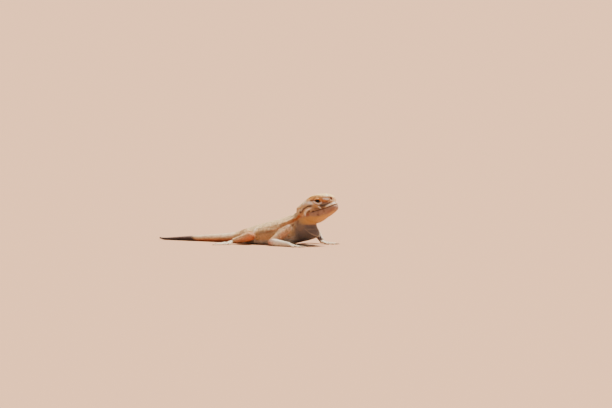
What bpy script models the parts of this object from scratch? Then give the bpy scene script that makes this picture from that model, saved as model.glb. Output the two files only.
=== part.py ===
# A secret toadhead agama at rest: belly and tail on the ground, head raised, both hands set
# forward and the hind feet turned out. A still model, life size.
# Metres, +Z up, head towards +X, the lizard's own right side towards -Y.
# Every size below is in millimetres until to_metres turns it into metres.

import math

import bmesh
import bpy
import numpy as np
from mathutils import Matrix, Vector

to_metres = 0.001
joint_gap = 0.3            # left between two pieces that touch

# Driving sizes
head_length = 29.0         # snout tip to the nape
head_pitch = 20.0          # degrees, snout up
head_yaw = 4.0             # degrees, turned to its left
snout_tip = (77.2, 1.9, 30.8)
eye_radius = 3.0
lid_thickness = 0.55
mouth_corner = 16.2        # behind the snout tip
head_lean = 8.5            # how far the throat ends in front of the nape
lean_start = 12.0
ring_sides = 36            # points round the head and neck
trunk_sides = 30
tail_sides = 16

# Back line and belly line of the trunk, from the vent forward. Each row: distance along the
# body, top x, top z, bottom x, bottom z, half width, how far down the widest place is, fullness.
trunk_table = np.array((
    (0, -2.0, 7.8, -2.0, 0.5, 5.6, 0.50, 0.86),
    (6, 4.0, 9.8, 4.0, -0.4, 8.4, 0.54, 0.86),
    (12, 10.0, 11.8, 10.0, -0.9, 10.6, 0.58, 0.84),
    (19, 17.0, 13.8, 17.0, -1.2, 13.0, 0.62, 0.82),
    (27, 25.0, 15.9, 25.0, -1.2, 14.8, 0.64, 0.80),
    (35, 33.0, 18.1, 34.0, -0.9, 14.8, 0.62, 0.80),
    (41, 39.0, 20.0, 43.0, 0.2, 13.6, 0.58, 0.82),
    (46, 42.8, 21.3, 50.5, 2.0, 12.4, 0.54, 0.84),
    (50, 45.0, 22.2, 57.8, 3.7, 11.5, 0.50, 0.86),
    (53, 46.2, 23.0, 64.0, 6.0, 10.4, 0.48, 0.88),
))

# Tail, from the vent back: distance behind the vent, top z, bottom z, half width.
tail_table = np.array((
    (0, 7.8, 0.5, 5.6),
    (5, 7.0, -0.3, 5.0),
    (10, 6.3, -0.4, 4.2),
    (22, 5.2, -0.4, 3.1),
    (35, 4.0, -0.4, 2.3),
    (47, 2.9, -0.3, 1.65),
    (56, 2.1, -0.2, 1.2),
    (61.5, 1.8, 0.1, 0.8),
    (64.5, 2.1, 0.9, 0.45),
))
vent_x = -2.0
tail_joints = (0.0, 18.0, 35.0, 64.5)

# Head, from the snout tip back: distance behind the tip, top, brow half width, brow height,
# cheek half width, lip half width, mouth height, jaw half width, jaw height, throat height.
head_table = np.array((
    (0.0, 4.4, 1.3, 3.9, 1.6, 1.7, -1.20, 1.4, -2.9, -3.4),
    (0.7, 5.4, 2.5, 4.8, 3.2, 3.4, -1.25, 2.9, -3.7, -4.3),
    (2.0, 6.5, 3.6, 5.9, 4.5, 4.9, -1.35, 4.2, -4.5, -5.2),
    (4.0, 7.9, 4.9, 7.2, 5.8, 6.4, -1.45, 5.6, -5.1, -6.0),
    (7.0, 9.3, 6.9, 8.8, 7.1, 7.9, -1.45, 6.9, -5.7, -6.9),
    (10.0, 10.1, 8.3, 9.5, 7.8, 9.0, -1.35, 7.8, -6.1, -7.6),
    (13.0, 10.5, 8.6, 9.7, 8.4, 9.9, -1.20, 8.5, -6.4, -8.2),
    (16.0, 10.5, 7.9, 9.2, 9.4, 10.7, -1.10, 9.0, -6.6, -8.7),
    (19.0, 9.9, 7.2, 8.2, 10.2, 11.0, -1.20, 9.2, -6.6, -9.2),
    (22.0, 8.9, 6.7, 7.2, 9.9, 10.4, -1.40, 8.8, -6.5, -9.4),
    (26.0, 7.5, 6.1, 6.1, 9.0, 9.4, -1.50, 8.0, -6.2, -9.2),
    (29.0, 6.4, 5.9, 5.2, 8.2, 8.6, -1.60, 7.4, -5.8, -8.8),
))
head_stations = (0.0, 0.3, 0.7, 1.3, 2.0, 3.0, 4.0, 5.5, 7.0, 8.5, 10.0, 11.5, 13.0,
                 14.5, 16.0, 17.5, 19.0, 20.5, 22.0, 23.5, 25.0, 27.0, 29.0)

# Eye, nostril and mouth-corner flap, in the head's own frame: back from the snout tip, out, up.
eye_centre = (10.9, 6.2, 5.0)
eye_look = (0.44, 0.89, 0.0)       # forward, out, up
eye_opening = (2.5, 1.4)            # half width, half height
eye_slant = 0.5                    # how far the front corner drops for its length
nostril_centre = (1.1, 3.0, 3.6)
nostril_radius = 0.75
flap_centre = (17.2, -2.3)
flap_radius = 4.6
flap_turn = (112.0, -8.0)          # degrees, from in front of the top round to the back
flap_points = 9

# Limbs: shoulder or hip, elbow or knee, wrist or ankle, then the heading of the hand or foot
# in degrees from +X. Right is -Y.
limbs = {
    "right_fore": ((47.0, -7.5, 14.0), (36.7, -20.4, 2.5), (53.5, -24.0, 1.7), -8.0),
    "left_fore": ((46.5, 6.5, 14.5), (48.2, 23.6, 9.6), (60.1, 13.3, 1.9), 4.0),
    "right_hind": ((6.8, -4.6, 5.5), (18.4, -17.6, 6.2), (3.2, -17.2, 2.0), -104.0),
    "left_hind": ((6.8, 4.6, 5.5), (17.6, 18.2, 6.0), (2.6, 17.8, 2.0), 98.0),
}
fore_radii = (4.2, 2.7, 1.75)       # shoulder, elbow, wrist
hind_radii = (4.8, 3.1, 1.85)       # hip, knee, ankle

# Digits from the inner one out: length, angle from the heading, thickness.
fingers = ((3.4, 40.0), (5.2, 20.0), (6.4, 4.0), (6.2, -14.0), (4.2, -38.0))
toes = ((3.6, 34.0), (5.6, 20.0), (8.6, 8.0), (11.6, -4.0), (5.4, -36.0))
finger_radius = 0.62
toe_radius = 0.72
claw_length = 1.9
palm_size = (4.6, 2.5, 1.25)        # length, half width, half height
sole_size = (6.4, 2.3, 1.35)
fringe_toes = (2, 3)                # the third and fourth toes carry the comb of fringe scales
fringe_length = 1.15
fringe_spacing = 1.35
lip_groove = 0.55

parts = bpy.data.collections.new("secret_toadhead_agama")
cutters = bpy.data.collections.new("cutters")


def clear_scene():
    for item in list(bpy.data.objects):
        bpy.data.objects.remove(item, do_unlink=True)
    bpy.context.scene.collection.children.link(parts)
    bpy.context.scene.collection.children.link(cutters)


def material(name, colour, roughness):
    skin = bpy.data.materials.new(name)
    skin.use_nodes = True
    shader = skin.node_tree.nodes["Principled BSDF"]
    shader.inputs["Base Color"].default_value = (*colour, 1.0)
    shader.inputs["Roughness"].default_value = roughness
    shader.inputs["Metallic"].default_value = 0.0
    return skin


def station(table, at):
    # One row of a table, read smoothly at a place between its rows.
    keys = table[:, 0]
    index = int(np.clip(np.searchsorted(keys, at) - 1, 0, len(keys) - 2))
    span = keys[index + 1] - keys[index]
    t = (at - keys[index]) / span
    slopes = np.gradient(table, keys, axis=0) * span
    start, end = table[index], table[index + 1]
    return ((2 * t**3 - 3 * t**2 + 1) * start + (t**3 - 2 * t**2 + t) * slopes[index]
            + (3 * t**2 - 2 * t**3) * end + (t**3 - t**2) * slopes[index + 1])


def new_object(name, bm, home=parts):
    bmesh.ops.recalc_face_normals(bm, faces=bm.faces)
    mesh = bpy.data.meshes.new(name)
    bm.to_mesh(mesh)
    bm.free()
    item = bpy.data.objects.new(name, mesh)
    home.objects.link(item)
    return item


def loft(name, rings, home=parts, zip_start=False):
    # Rings of points joined by faces, with a flat face over each end. zip_start closes the
    # first ring with a row of faces from its left points to its right ones.
    bm = bmesh.new()
    rows = [[bm.verts.new(Vector(point) * to_metres) for point in ring] for ring in rings]
    count = len(rows[0])
    for near, far in zip(rows, rows[1:]):
        for i in range(count):
            after = (i + 1) % count
            bm.faces.new((near[i], near[after], far[after], far[i]))
    if zip_start:
        first = rows[0]
        for i in range(count // 2):
            corners = [first[i], first[i + 1], first[(count - i - 1) % count], first[(count - i) % count]]
            bm.faces.new(list(dict.fromkeys(corners)))
    else:
        bm.faces.new(rows[0])
    bm.faces.new(rows[-1])
    return new_object(name, bm, home)


def cut_flat(item, point, normal):
    # Takes away what lies on the normal's side of a plane, and closes the cut.
    bm = bmesh.new()
    bm.from_mesh(item.data)
    bmesh.ops.bisect_plane(bm, geom=bm.verts[:] + bm.edges[:] + bm.faces[:], dist=1e-7,
                           plane_co=Vector(point) * to_metres, plane_no=Vector(normal), clear_outer=True)
    bmesh.ops.holes_fill(bm, edges=[edge for edge in bm.edges if edge.is_boundary])
    bmesh.ops.recalc_face_normals(bm, faces=bm.faces)
    bm.to_mesh(item.data)
    bm.free()


def apply_boolean(item, operation, others, solver="MANIFOLD"):
    # One Boolean with a collection of closed pieces, applied, and the pieces removed.
    group = bpy.data.collections.new("fusing")
    for other in others:
        for home in list(other.users_collection):
            home.objects.unlink(other)
        group.objects.link(other)
    bpy.context.scene.collection.children.link(group)
    step = item.modifiers.new("join", "BOOLEAN")
    step.operation = operation
    step.operand_type = "COLLECTION"
    step.collection = group
    step.solver = solver
    bpy.context.view_layer.update()
    seen = item.evaluated_get(bpy.context.evaluated_depsgraph_get())
    item.data = bpy.data.meshes.new_from_object(seen)
    item.modifiers.clear()
    for other in others:
        bpy.data.objects.remove(other, do_unlink=True)
    bpy.data.collections.remove(group)
    keep_largest(item)


def keep_largest(item):
    bm = bmesh.new()
    bm.from_mesh(item.data)
    bmesh.ops.remove_doubles(bm, verts=bm.verts, dist=1e-7)
    bm.verts.ensure_lookup_table()
    unseen = set(bm.verts)
    shells = []
    while unseen:
        shell = set()
        edge_of_shell = [unseen.pop()]
        while edge_of_shell:
            vert = edge_of_shell.pop()
            shell.add(vert)
            for edge in vert.link_edges:
                other = edge.other_vert(vert)
                if other in unseen:
                    unseen.discard(other)
                    edge_of_shell.append(other)
        shells.append(shell)
    largest = max(shells, key=len)
    bmesh.ops.delete(bm, geom=[vert for vert in bm.verts if vert not in largest], context="VERTS")
    bm.to_mesh(item.data)
    bm.free()


def finish(item, look):
    item.data.materials.clear()
    item.data.materials.append(look)
    item.data.shade_smooth()
    item.data.set_sharp_from_angle(angle=math.radians(50))


# Trunk, neck and tail

def body_ring(row, count, grow=0.0):
    _, top_x, top_z, bottom_x, bottom_z, half_width, widest, fullness = row
    top = Vector((top_x, 0.0, top_z))
    down = Vector((bottom_x, 0.0, bottom_z)) - top
    top -= down.normalized() * grow
    down += down.normalized() * 2 * grow
    ring = []
    for i in range(count):
        angle = 2 * math.pi * i / count
        fall = math.cos(angle)
        depth = widest - (widest if fall > 0 else 1 - widest) * fall
        out = (half_width + grow) * math.copysign(abs(math.sin(angle)) ** fullness, math.sin(angle))
        ring.append(top + down * depth + Vector((0.0, out, 0.0)))
    return ring


def ring_normal(row):
    down = Vector((row[3] - row[1], 0.0, row[4] - row[2]))
    return Vector((-down.z, 0.0, down.x)).normalized()


def moved(ring, direction, distance):
    return [point + Vector(direction) * distance for point in ring]


def torso(grow=0.0, name="torso", home=parts):
    places = np.linspace(trunk_table[0, 0], trunk_table[-1, 0], 25)
    rows = [station(trunk_table, at) for at in places]
    rings = [body_ring(row, trunk_sides, grow) for row in rows]
    rings[0] = moved(rings[0], (1, 0, 0), joint_gap / 2 - grow)
    rings[-1] = moved(rings[-1], -ring_normal(rows[-1]), joint_gap / 2 - grow)
    item = loft(name, rings, home)
    if grow == 0.0:
        cut_flat(item, (0, 0, 0), (0, 0, -1))
    return item


def tail_ring(at):
    _, top, bottom, half_width = station(tail_table, at)
    ring = []
    for i in range(tail_sides):
        angle = 2 * math.pi * i / tail_sides
        height = (top + bottom) / 2 + (top - bottom) / 2 * math.cos(angle)
        ring.append(Vector((vent_x - at, half_width * math.sin(angle), height)))
    return ring


def tail_length(name, start, end, rings_count, free_end):
    rings = [tail_ring(at) for at in np.linspace(start, end, rings_count)]
    rings[0] = moved(rings[0], (-1, 0, 0), joint_gap / 2)
    if not free_end:
        rings[-1] = moved(rings[-1], (1, 0, 0), joint_gap / 2)
    item = loft(name, rings)
    cut_flat(item, (0, 0, 0), (0, 0, -1))
    return item


# Head

head_turn = (Matrix.Rotation(math.radians(head_yaw), 3, "Z")
             @ Matrix.Rotation(math.radians(-head_pitch), 3, "Y"))


def on_head(back, out, up):
    return Vector(snout_tip) + head_turn @ Vector((-back, out, up))


def half_face(back):
    # Half of one ring of the head, from the middle of the crown down to the middle of the throat.
    _, top, brow_out, brow_up, cheek, lip, mouth, jaw_out, jaw_up, throat = station(head_table, back)
    crown = top - brow_up
    side = brow_up - mouth
    lean = head_lean * max(0.0, (back - lean_start) / (head_length - lean_start))
    at_mouth = back - lean * (top - mouth) / (top - throat)
    groove = lip_groove * min(1.0, max(0.0, (mouth_corner + 1.2 - at_mouth) / 1.2))
    facing_front = max(0.0, 1.0 - back / 2.0)
    set_back = groove * facing_front
    set_in = groove * (1.0 - facing_front)
    points = [
        (0, 0.0, top), (0, 0.35 * brow_out, top - 0.06 * crown), (0, 0.65 * brow_out, top - 0.25 * crown),
        (0, 0.88 * brow_out, top - 0.6 * crown), (0, brow_out, brow_up),
        (0, brow_out + 0.15 * (cheek - brow_out), mouth + 0.84 * side),
        (0, brow_out + 0.6 * (cheek - brow_out), mouth + 0.66 * side),
        (0, cheek, mouth + 0.48 * side),
        (0, cheek + 0.45 * (lip - cheek), mouth + 0.3 * side),
        (0, cheek + 0.85 * (lip - cheek), mouth + 0.17 * side),
        (0, lip, mouth + 0.55), (0, lip - 0.1, mouth + 0.22),
        (set_back, lip - 0.06 - set_in, mouth),
        (0, lip - 0.16, mouth - 0.22), (0, lip - 0.08, mouth - 0.75),
        (0, lip + 0.62 * (jaw_out - lip) + 0.25, mouth + 0.62 * (jaw_up - mouth)),
        (0, jaw_out, jaw_up), (0, 0.58 * jaw_out, throat + 0.28 * (jaw_up - throat)), (0, 0.0, throat),
    ]
    return [(back + shift - lean * (top - up) / (top - throat), out, up) for shift, out, up in points]


def head_ring(back):
    left = half_face(back)
    right = [(place, -out, up) for place, out, up in reversed(left[1:-1])]
    return [on_head(place, out, up) for place, out, up in left + right]


def nape_normal():
    # The way that the flat back of the head faces, behind and below it.
    face = half_face(head_length)
    height = face[0][2] - face[-1][2]
    return (head_turn @ Vector((-height, 0.0, -head_lean))).normalized()


def cheek_at(back, up):
    # How far out the side of the head is at a place on it.
    straight = back
    for _ in range(4):
        place = np.interp(-up, [-height for _, _, height in half_face(straight)][4:17],
                          [at for at, _, _ in half_face(straight)][4:17])
        straight += back - float(place)
    side = sorted((height, out) for _, out, height in half_face(straight)[4:17])
    return float(np.interp(up, [height for height, _ in side], [out for _, out in side]))


def ball(name, centre, radius, segments, home):
    bpy.ops.mesh.primitive_uv_sphere_add(segments=segments, ring_count=segments // 2,
                                         radius=radius * to_metres, location=Vector(centre) * to_metres)
    item = bpy.context.object
    item.name = name
    item.data.transform(item.matrix_world)
    item.matrix_world = Matrix.Identity(4)
    for old in list(item.users_collection):
        old.objects.unlink(item)
    home.objects.link(item)
    return item


def tube(name, path, widths, heights, sides, home=parts):
    # A closed tapered tube along a path; its rings are wide sideways and high upwards.
    rings = []
    across = None
    for i, point in enumerate(path):
        ahead = (path[min(i + 1, len(path) - 1)] - path[max(i - 1, 0)]).normalized()
        if across is None:
            across = ahead.cross(Vector((0, 0, 1)))
            if across.length < 0.2:
                across = ahead.cross(Vector((1, 0, 0)))
        across = (across - ahead * across.dot(ahead)).normalized()
        up = across.cross(ahead)
        ring = []
        for k in range(sides):
            angle = 2 * math.pi * (k + 0.5) / sides
            ring.append(point + across * widths[i] * math.cos(angle) + up * heights[i] * math.sin(angle))
        rings.append(ring)
    return loft(name, rings, home)


def spike(base, direction, length, width, home):
    # A small pointed scale of four sides: its root is sunk below the base by a third of its length.
    direction = Vector(direction).normalized()
    path = [base - direction * length * 0.35, base + direction * length]
    return tube("spike", path, (width, width * 0.2), (width, width * 0.2), 4, home)


def eye_axis(side):
    forward, out, up = eye_look
    return (head_turn @ Vector((forward, side * out, up))).normalized()


def eye_place(side):
    back, out, up = eye_centre
    return on_head(back, side * out, up)


def almond(side):
    # The opening between the lids, as a prism along the eye's line of sight.
    look = eye_axis(side)
    along = (head_turn @ Vector((1, 0, -eye_slant))).normalized()
    along = (along - look * along.dot(look)).normalized()
    above = look.cross(along) * side
    rings = []
    for reach in (0.6, eye_radius + 4.0):
        ring = []
        for k in range(16):
            angle = 2 * math.pi * k / 16
            high = math.copysign(abs(math.sin(angle)) ** 1.35, math.sin(angle))
            ring.append(eye_place(side) + look * reach + along * eye_opening[0] * math.cos(angle)
                        + above * eye_opening[1] * high)
        rings.append(ring)
    return loft("opening", rings, cutters)


def mouth_flap(side):
    # The folded skin flap behind the mouth corner, a crescent with small points on its edge.
    pieces = []
    path = []
    steps = 10
    for k in range(steps):
        turn = math.radians(flap_turn[0] + (flap_turn[1] - flap_turn[0]) * k / (steps - 1))
        back = flap_centre[0] + flap_radius * math.cos(turn)
        up = flap_centre[1] + flap_radius * math.sin(turn)
        path.append((back, up, turn))
    centre_line = [on_head(back, side * (cheek_at(back, up) + 0.15), up) for back, up, _ in path]
    swell = [0.28 + 0.5 * math.sin(math.pi * k / (steps - 1)) ** 0.7 for k in range(steps)]
    pieces.append(tube("flap", centre_line, swell, swell, 7, cutters))
    for k in range(flap_points):
        place = 1 + (steps - 3) * k / (flap_points - 1)
        back, up, turn = path[int(round(place))]
        outward = head_turn @ Vector((-math.cos(turn), side * 0.75, math.sin(turn)))
        root = on_head(back, side * (cheek_at(back, up) + 0.35), up)
        pieces.append(spike(root, outward, 1.15, 0.42, cutters))
    return pieces


def temple_spikes(side):
    # Pointed scales behind the temple, above the flap.
    pieces = []
    for k in range(5):
        back = 19.0 + 1.35 * k
        up = 7.0 - 0.55 * k
        outward = head_turn @ Vector((-0.8, side * 0.8, 0.5))
        pieces.append(spike(on_head(back, side * (cheek_at(back, up) - 0.1), up), outward, 1.3, 0.48, cutters))
    return pieces


def head():
    item = loft("head", [head_ring(back) for back in head_stations], zip_start=True)
    raised = []
    for side in (-1, 1):
        raised.append(ball("lids", eye_place(side), eye_radius + joint_gap + lid_thickness, 18, cutters))
        raised += mouth_flap(side)
        raised += temple_spikes(side)
    apply_boolean(item, "UNION", raised)
    hollows = []
    for side in (-1, 1):
        socket = ball("socket", eye_place(side), eye_radius + joint_gap, 18, cutters)
        apply_boolean(socket, "UNION", [almond(side)])
        hollows.append(socket)
        back, out, up = nostril_centre
        hollows.append(ball("nostril", on_head(back, side * out, up), nostril_radius, 8, cutters))
    apply_boolean(item, "DIFFERENCE", hollows)
    nape = on_head(*half_face(head_length)[0]) - nape_normal() * joint_gap / 2
    cut_flat(item, nape, nape_normal())
    return item


def neck():
    last = trunk_table[-1]
    forward = ring_normal(last)
    start = moved(body_ring(last, ring_sides), forward, joint_gap / 2)
    end = moved(head_ring(head_length), nape_normal(), joint_gap / 2)
    rings = []
    count = 8
    for k in range(count):
        t = k / (count - 1)
        ring = [a.lerp(b, t) for a, b in zip(start, end)]
        middle = sum(ring, Vector()) / len(ring)
        pinch = 0.1 * math.sin(math.pi * t)
        rings.append([point.lerp(middle, pinch) for point in ring])
    item = loft("neck", rings)
    folds = []
    for side in (-1, 1):
        for at, lean in ((0.38, 0.45), (0.72, 0.65)):
            row = rings[int(round(at * (count - 1)))]
            path = []
            for k in range(3, 12):
                point = row[k] if side > 0 else row[-k]
                middle = sum(row, Vector()) / len(row)
                path.append(point + (middle - point).normalized() * 0.35)
            swell = [0.35 + lean * math.sin(math.pi * k / 8) for k in range(9)]
            folds.append(tube("fold", path, swell, swell, 7, cutters))
    apply_boolean(item, "UNION", folds)
    return item


# Limbs

def muscle(name, start, end, start_radius, end_radius, bulge, bulge_at, sides=11):
    # A limb segment with round ends, swollen where its muscle is thickest.
    start, end = Vector(start), Vector(end)
    axis = (end - start).normalized()
    path, radii = [], []
    for angle in (18, 45, 70):
        path.append(start - axis * start_radius * math.cos(math.radians(angle)))
        radii.append(start_radius * math.sin(math.radians(angle)))
    for t in np.linspace(0, 1, 7):
        path.append(start.lerp(end, t))
        swell = bulge * math.exp(-((t - bulge_at) / 0.28) ** 2)
        radii.append(start_radius + (end_radius - start_radius) * t + swell)
    for angle in (70, 45, 18):
        path.append(end + axis * end_radius * math.cos(math.radians(angle)))
        radii.append(end_radius * math.sin(math.radians(angle)))
    return tube(name, path, radii, radii, sides)


def part_at(upper, lower, joint, bend):
    # Parts two pieces that meet at a joint, each on its own side of one plane.
    bend = Vector(bend).normalized()
    cut_flat(upper, Vector(joint) - bend * joint_gap / 2, bend)
    cut_flat(lower, Vector(joint) + bend * joint_gap / 2, -bend)


def digit(root, heading, length, radius, fringe_sides, home):
    # One finger or toe with its claw, laid on the ground, and its comb of fringe scales.
    ahead = Vector((math.cos(heading), math.sin(heading), 0))
    lift = (0.25, 0.75, 0.45, 0.1, 0.0)
    path = []
    widths = []
    for k, rise in enumerate(lift):
        t = k / (len(lift) - 1)
        point = root + ahead * length * t
        point.z = radius * (1.0 - 0.35 * t) + rise * radius * 0.9
        path.append(point)
        widths.append(radius * (1.0 - 0.32 * t))
    pieces = [tube("digit", path, widths, widths, 6, home)]
    tip = path[-1]
    claw = [tip - ahead * 0.7, tip + ahead * claw_length * 0.5 + Vector((0, 0, 0.16)),
            tip + ahead * claw_length + Vector((0, 0, -0.22))]
    pieces.append(tube("claw", claw, (0.36, 0.3, 0.07), (0.42, 0.32, 0.07), 5, home))
    across = Vector((-ahead.y, ahead.x, 0))
    for side in fringe_sides:
        count = max(4, int(length / fringe_spacing))
        for k in range(count):
            t = 0.16 + 0.74 * k / (count - 1)
            root_point = root + ahead * length * t + across * side * radius * 0.6
            root_point.z = 0.5
            size = fringe_length * (0.75 + 0.4 * math.sin(math.pi * t))
            pieces.append(spike(root_point, across * side + ahead * 0.35, size + 0.3, 0.42, home))
    return pieces


def extremity(name, joint, heading_degrees, side, digits, palm, radius, fringed):
    # A hand or foot: palm, digits and claws fused into one body with its sole flat on the ground.
    heading = math.radians(heading_degrees)
    ahead = Vector((math.cos(heading), math.sin(heading), 0))
    across = Vector((-ahead.y, ahead.x, 0))
    palm_length, palm_width, palm_height = palm
    start = Vector(joint)
    profile = ((-0.35, 0.72, 1.0), (0.0, 0.8, 0.98), (0.3, 0.88, 0.85), (0.6, 1.0, 0.72), (0.85, 0.98, 0.66),
               (1.02, 0.72, 0.5))
    path, widths, heights = [], [], []
    for t, wide, high in profile:
        point = start + ahead * palm_length * t
        fall = min(1.0, max(0.0, t))
        point.z = joint[2] * (1 - fall) + palm_height * 0.62 * fall
        path.append(point)
        widths.append(palm_width * wide)
        heights.append(palm_height * high)
    item = tube(name, path, widths, heights, 10)
    pieces = []
    count = len(digits)
    for k, (length, splay) in enumerate(digits):
        turn = heading + math.radians(-side * splay)
        from_middle = 1 - 2 * k / (count - 1)
        setback = 0.74 - 0.18 * abs(from_middle)
        root = start + ahead * palm_length * setback - across * side * from_middle * palm_width * 0.66
        root.z = 0
        fringe_sides = ()
        if fringed and k == fringe_toes[0]:
            fringe_sides = (side,)
        if fringed and k == fringe_toes[1]:
            fringe_sides = (-1, 1)
        pieces += digit(root, turn, length + palm_length * (1 - setback), radius, fringe_sides, cutters)
    apply_boolean(item, "UNION", pieces)
    cut_flat(item, (0, 0, 0), (0, 0, -1))
    return item


def limb(kind, names, radii, bulges, digits, palm, radius, fringed, side):
    root, bend, end, heading = limbs[kind]
    root, bend, end = Vector(root), Vector(bend), Vector(end)
    upper = muscle(names[0], root, bend, radii[0], radii[1], bulges[0], 0.35)
    lower = muscle(names[1], bend, end, radii[1], radii[2], bulges[1], 0.3)
    tip = extremity(names[2], end, heading, side, digits, palm, radius, fringed)
    first, second = (bend - root).normalized(), (end - bend).normalized()
    ahead = Vector((math.cos(math.radians(heading)), math.sin(math.radians(heading)), 0))
    part_at(upper, lower, bend, first + second)
    part_at(lower, tip, end, second + ahead)
    for item in (upper, lower):
        cut_flat(item, (0, 0, 0), (0, 0, -1))
        apply_boolean(item, "DIFFERENCE", [torso(joint_gap, "body_cut", cutters)])
    for item in (upper, lower, tip):
        keep_largest(item)
    return upper, lower, tip


def centre_on_floor(items):
    # Moves every piece so that the whole stands centred on the origin.
    corners = np.array([vert.co[:] for item in items for vert in item.data.vertices])
    low, high = corners.min(axis=0), corners.max(axis=0)
    shift = Vector((-(low[0] + high[0]) / 2, -(low[1] + high[1]) / 2, -low[2]))
    for item in items:
        item.data.transform(Matrix.Translation(shift))


def build():
    clear_scene()
    back_skin = material("back_skin", (0.80, 0.66, 0.49), 0.72)
    head_skin = material("head_skin", (0.78, 0.60, 0.38), 0.68)
    limb_skin = material("limb_skin", (0.77, 0.58, 0.43), 0.70)
    tail_end_skin = material("tail_end_skin", (0.09, 0.07, 0.06), 0.62)
    eye_surface = material("eye_surface", (0.03, 0.02, 0.015), 0.08)

    items = []

    def keep(item, look):
        finish(item, look)
        items.append(item)

    keep(head(), head_skin)
    for side, word in ((-1, "right"), (1, "left")):
        keep(ball(f"eye_{word}", eye_place(side), eye_radius, 16, parts), eye_surface)
    keep(neck(), head_skin)
    keep(torso(), back_skin)
    keep(tail_length("tail_base", tail_joints[0], tail_joints[1], 9, False), back_skin)
    keep(tail_length("tail_middle", tail_joints[1], tail_joints[2], 7, False), back_skin)
    keep(tail_length("tail_end", tail_joints[2], tail_joints[3], 11, True), tail_end_skin)
    for side, word in ((-1, "right"), (1, "left")):
        names = (f"upper_arm_{word}", f"forearm_{word}", f"hand_{word}")
        for item in limb(f"{word}_fore", names, fore_radii, (0.35, 0.3), fingers, palm_size,
                         finger_radius, False, side):
            keep(item, limb_skin)
        names = (f"thigh_{word}", f"shank_{word}", f"foot_{word}")
        for item in limb(f"{word}_hind", names, hind_radii, (0.4, 0.6), toes, sole_size,
                         toe_radius, True, side):
            keep(item, limb_skin)
    centre_on_floor(items)


build()
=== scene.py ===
import math

import bmesh
import bpy
import numpy as np
from mathutils import Matrix, Vector, kdtree
from mathutils.bvhtree import BVHTree


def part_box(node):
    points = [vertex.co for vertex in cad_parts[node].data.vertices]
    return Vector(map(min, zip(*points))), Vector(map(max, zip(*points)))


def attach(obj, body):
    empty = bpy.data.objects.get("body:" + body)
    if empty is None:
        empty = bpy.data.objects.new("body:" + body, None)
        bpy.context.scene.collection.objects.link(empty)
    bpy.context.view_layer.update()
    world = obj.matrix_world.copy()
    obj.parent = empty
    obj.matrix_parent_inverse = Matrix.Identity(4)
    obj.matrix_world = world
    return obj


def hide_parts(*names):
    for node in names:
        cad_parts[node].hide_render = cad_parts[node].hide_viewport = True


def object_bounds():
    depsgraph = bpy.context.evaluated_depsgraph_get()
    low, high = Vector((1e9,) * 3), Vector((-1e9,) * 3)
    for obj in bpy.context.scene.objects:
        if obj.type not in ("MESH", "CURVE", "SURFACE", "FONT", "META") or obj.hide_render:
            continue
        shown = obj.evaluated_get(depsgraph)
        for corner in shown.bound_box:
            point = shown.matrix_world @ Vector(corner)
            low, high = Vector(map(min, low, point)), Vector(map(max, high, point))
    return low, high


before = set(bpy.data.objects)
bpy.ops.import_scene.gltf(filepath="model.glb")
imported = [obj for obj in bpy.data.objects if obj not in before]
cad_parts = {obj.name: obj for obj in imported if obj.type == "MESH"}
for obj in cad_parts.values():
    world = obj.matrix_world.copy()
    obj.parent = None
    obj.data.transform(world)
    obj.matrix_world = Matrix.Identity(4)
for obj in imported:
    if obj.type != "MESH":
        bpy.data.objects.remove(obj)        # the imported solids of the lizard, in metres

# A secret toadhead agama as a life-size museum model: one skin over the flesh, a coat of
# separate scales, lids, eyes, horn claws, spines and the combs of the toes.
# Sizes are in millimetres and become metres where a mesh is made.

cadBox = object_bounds()
mm = 0.001
boxMargin = 0.03         # how far the skin and scales keep inside the box of the solids
boxLow = np.array(cadBox[0]) / mm + boxMargin
boxHigh = np.array(cadBox[1]) / mm - boxMargin
boxLow[2] = 0.0
random = np.random.default_rng(11)

# Where the head and body of the solids are. Back, out and up are measured from the snout tip.
bodyPlan = {
    "headYaw": 4.0, "headPitch": 20.0,
    "eyeBack": 10.9, "eyeUp": 5.0,
    "snoutInBody": (77.2, 1.9, 30.8),
    "mouthCorner": 16.2,
}
headTurn = (Matrix.Rotation(math.radians(bodyPlan["headYaw"]), 3, "Z")
            @ Matrix.Rotation(math.radians(-bodyPlan["headPitch"]), 3, "Y"))


def middleOf(node):
    low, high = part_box(node)
    return (low + high) / 2 / mm


sides = ((-1, "right"), (1, "left"))
eyeMiddle = {side: middleOf(f"eye_{word}") for side, word in sides}
snoutTip = ((eyeMiddle[-1] + eyeMiddle[1]) / 2
            - headTurn @ Vector((-bodyPlan["eyeBack"], 0, bodyPlan["eyeUp"])))
bodyShift = snoutTip - Vector(bodyPlan["snoutInBody"])


def onHead(back, out, up):
    return snoutTip + headTurn @ Vector((-back, out, up))


def onBody(x, y, z):
    return Vector((x, y, z)) + bodyShift


def headPlaces(points):
    # Back, out and up of many points at once.
    local = (points - np.array(snoutTip)) @ np.array(headTurn)
    return -local[:, 0], local[:, 1], local[:, 2]


def bodyPlaces(points):
    moved = points - np.array(bodyShift)
    return moved[:, 0], moved[:, 1], moved[:, 2]


def mouthUp(back):
    # Height of the mouth line along the head.
    return np.interp(back, (0, 0.7, 2, 4, 7, 10, 13, 16, 19, 22),
                     (-1.2, -1.25, -1.35, -1.45, -1.45, -1.35, -1.2, -1.1, -1.2, -1.4))


def gauss(distance, width):
    # 1 at no distance, falling off over about the width.
    return np.exp(-(distance / width) ** 2)


def ramp(value, low, high):
    # Rises smoothly from 0 at low to 1 at high.
    t = np.clip((value - low) / (high - low), 0, 1)
    return t * t * (3 - 2 * t)


def farFrom(points, place):
    return np.linalg.norm(points - np.array(place), axis=1)


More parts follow.
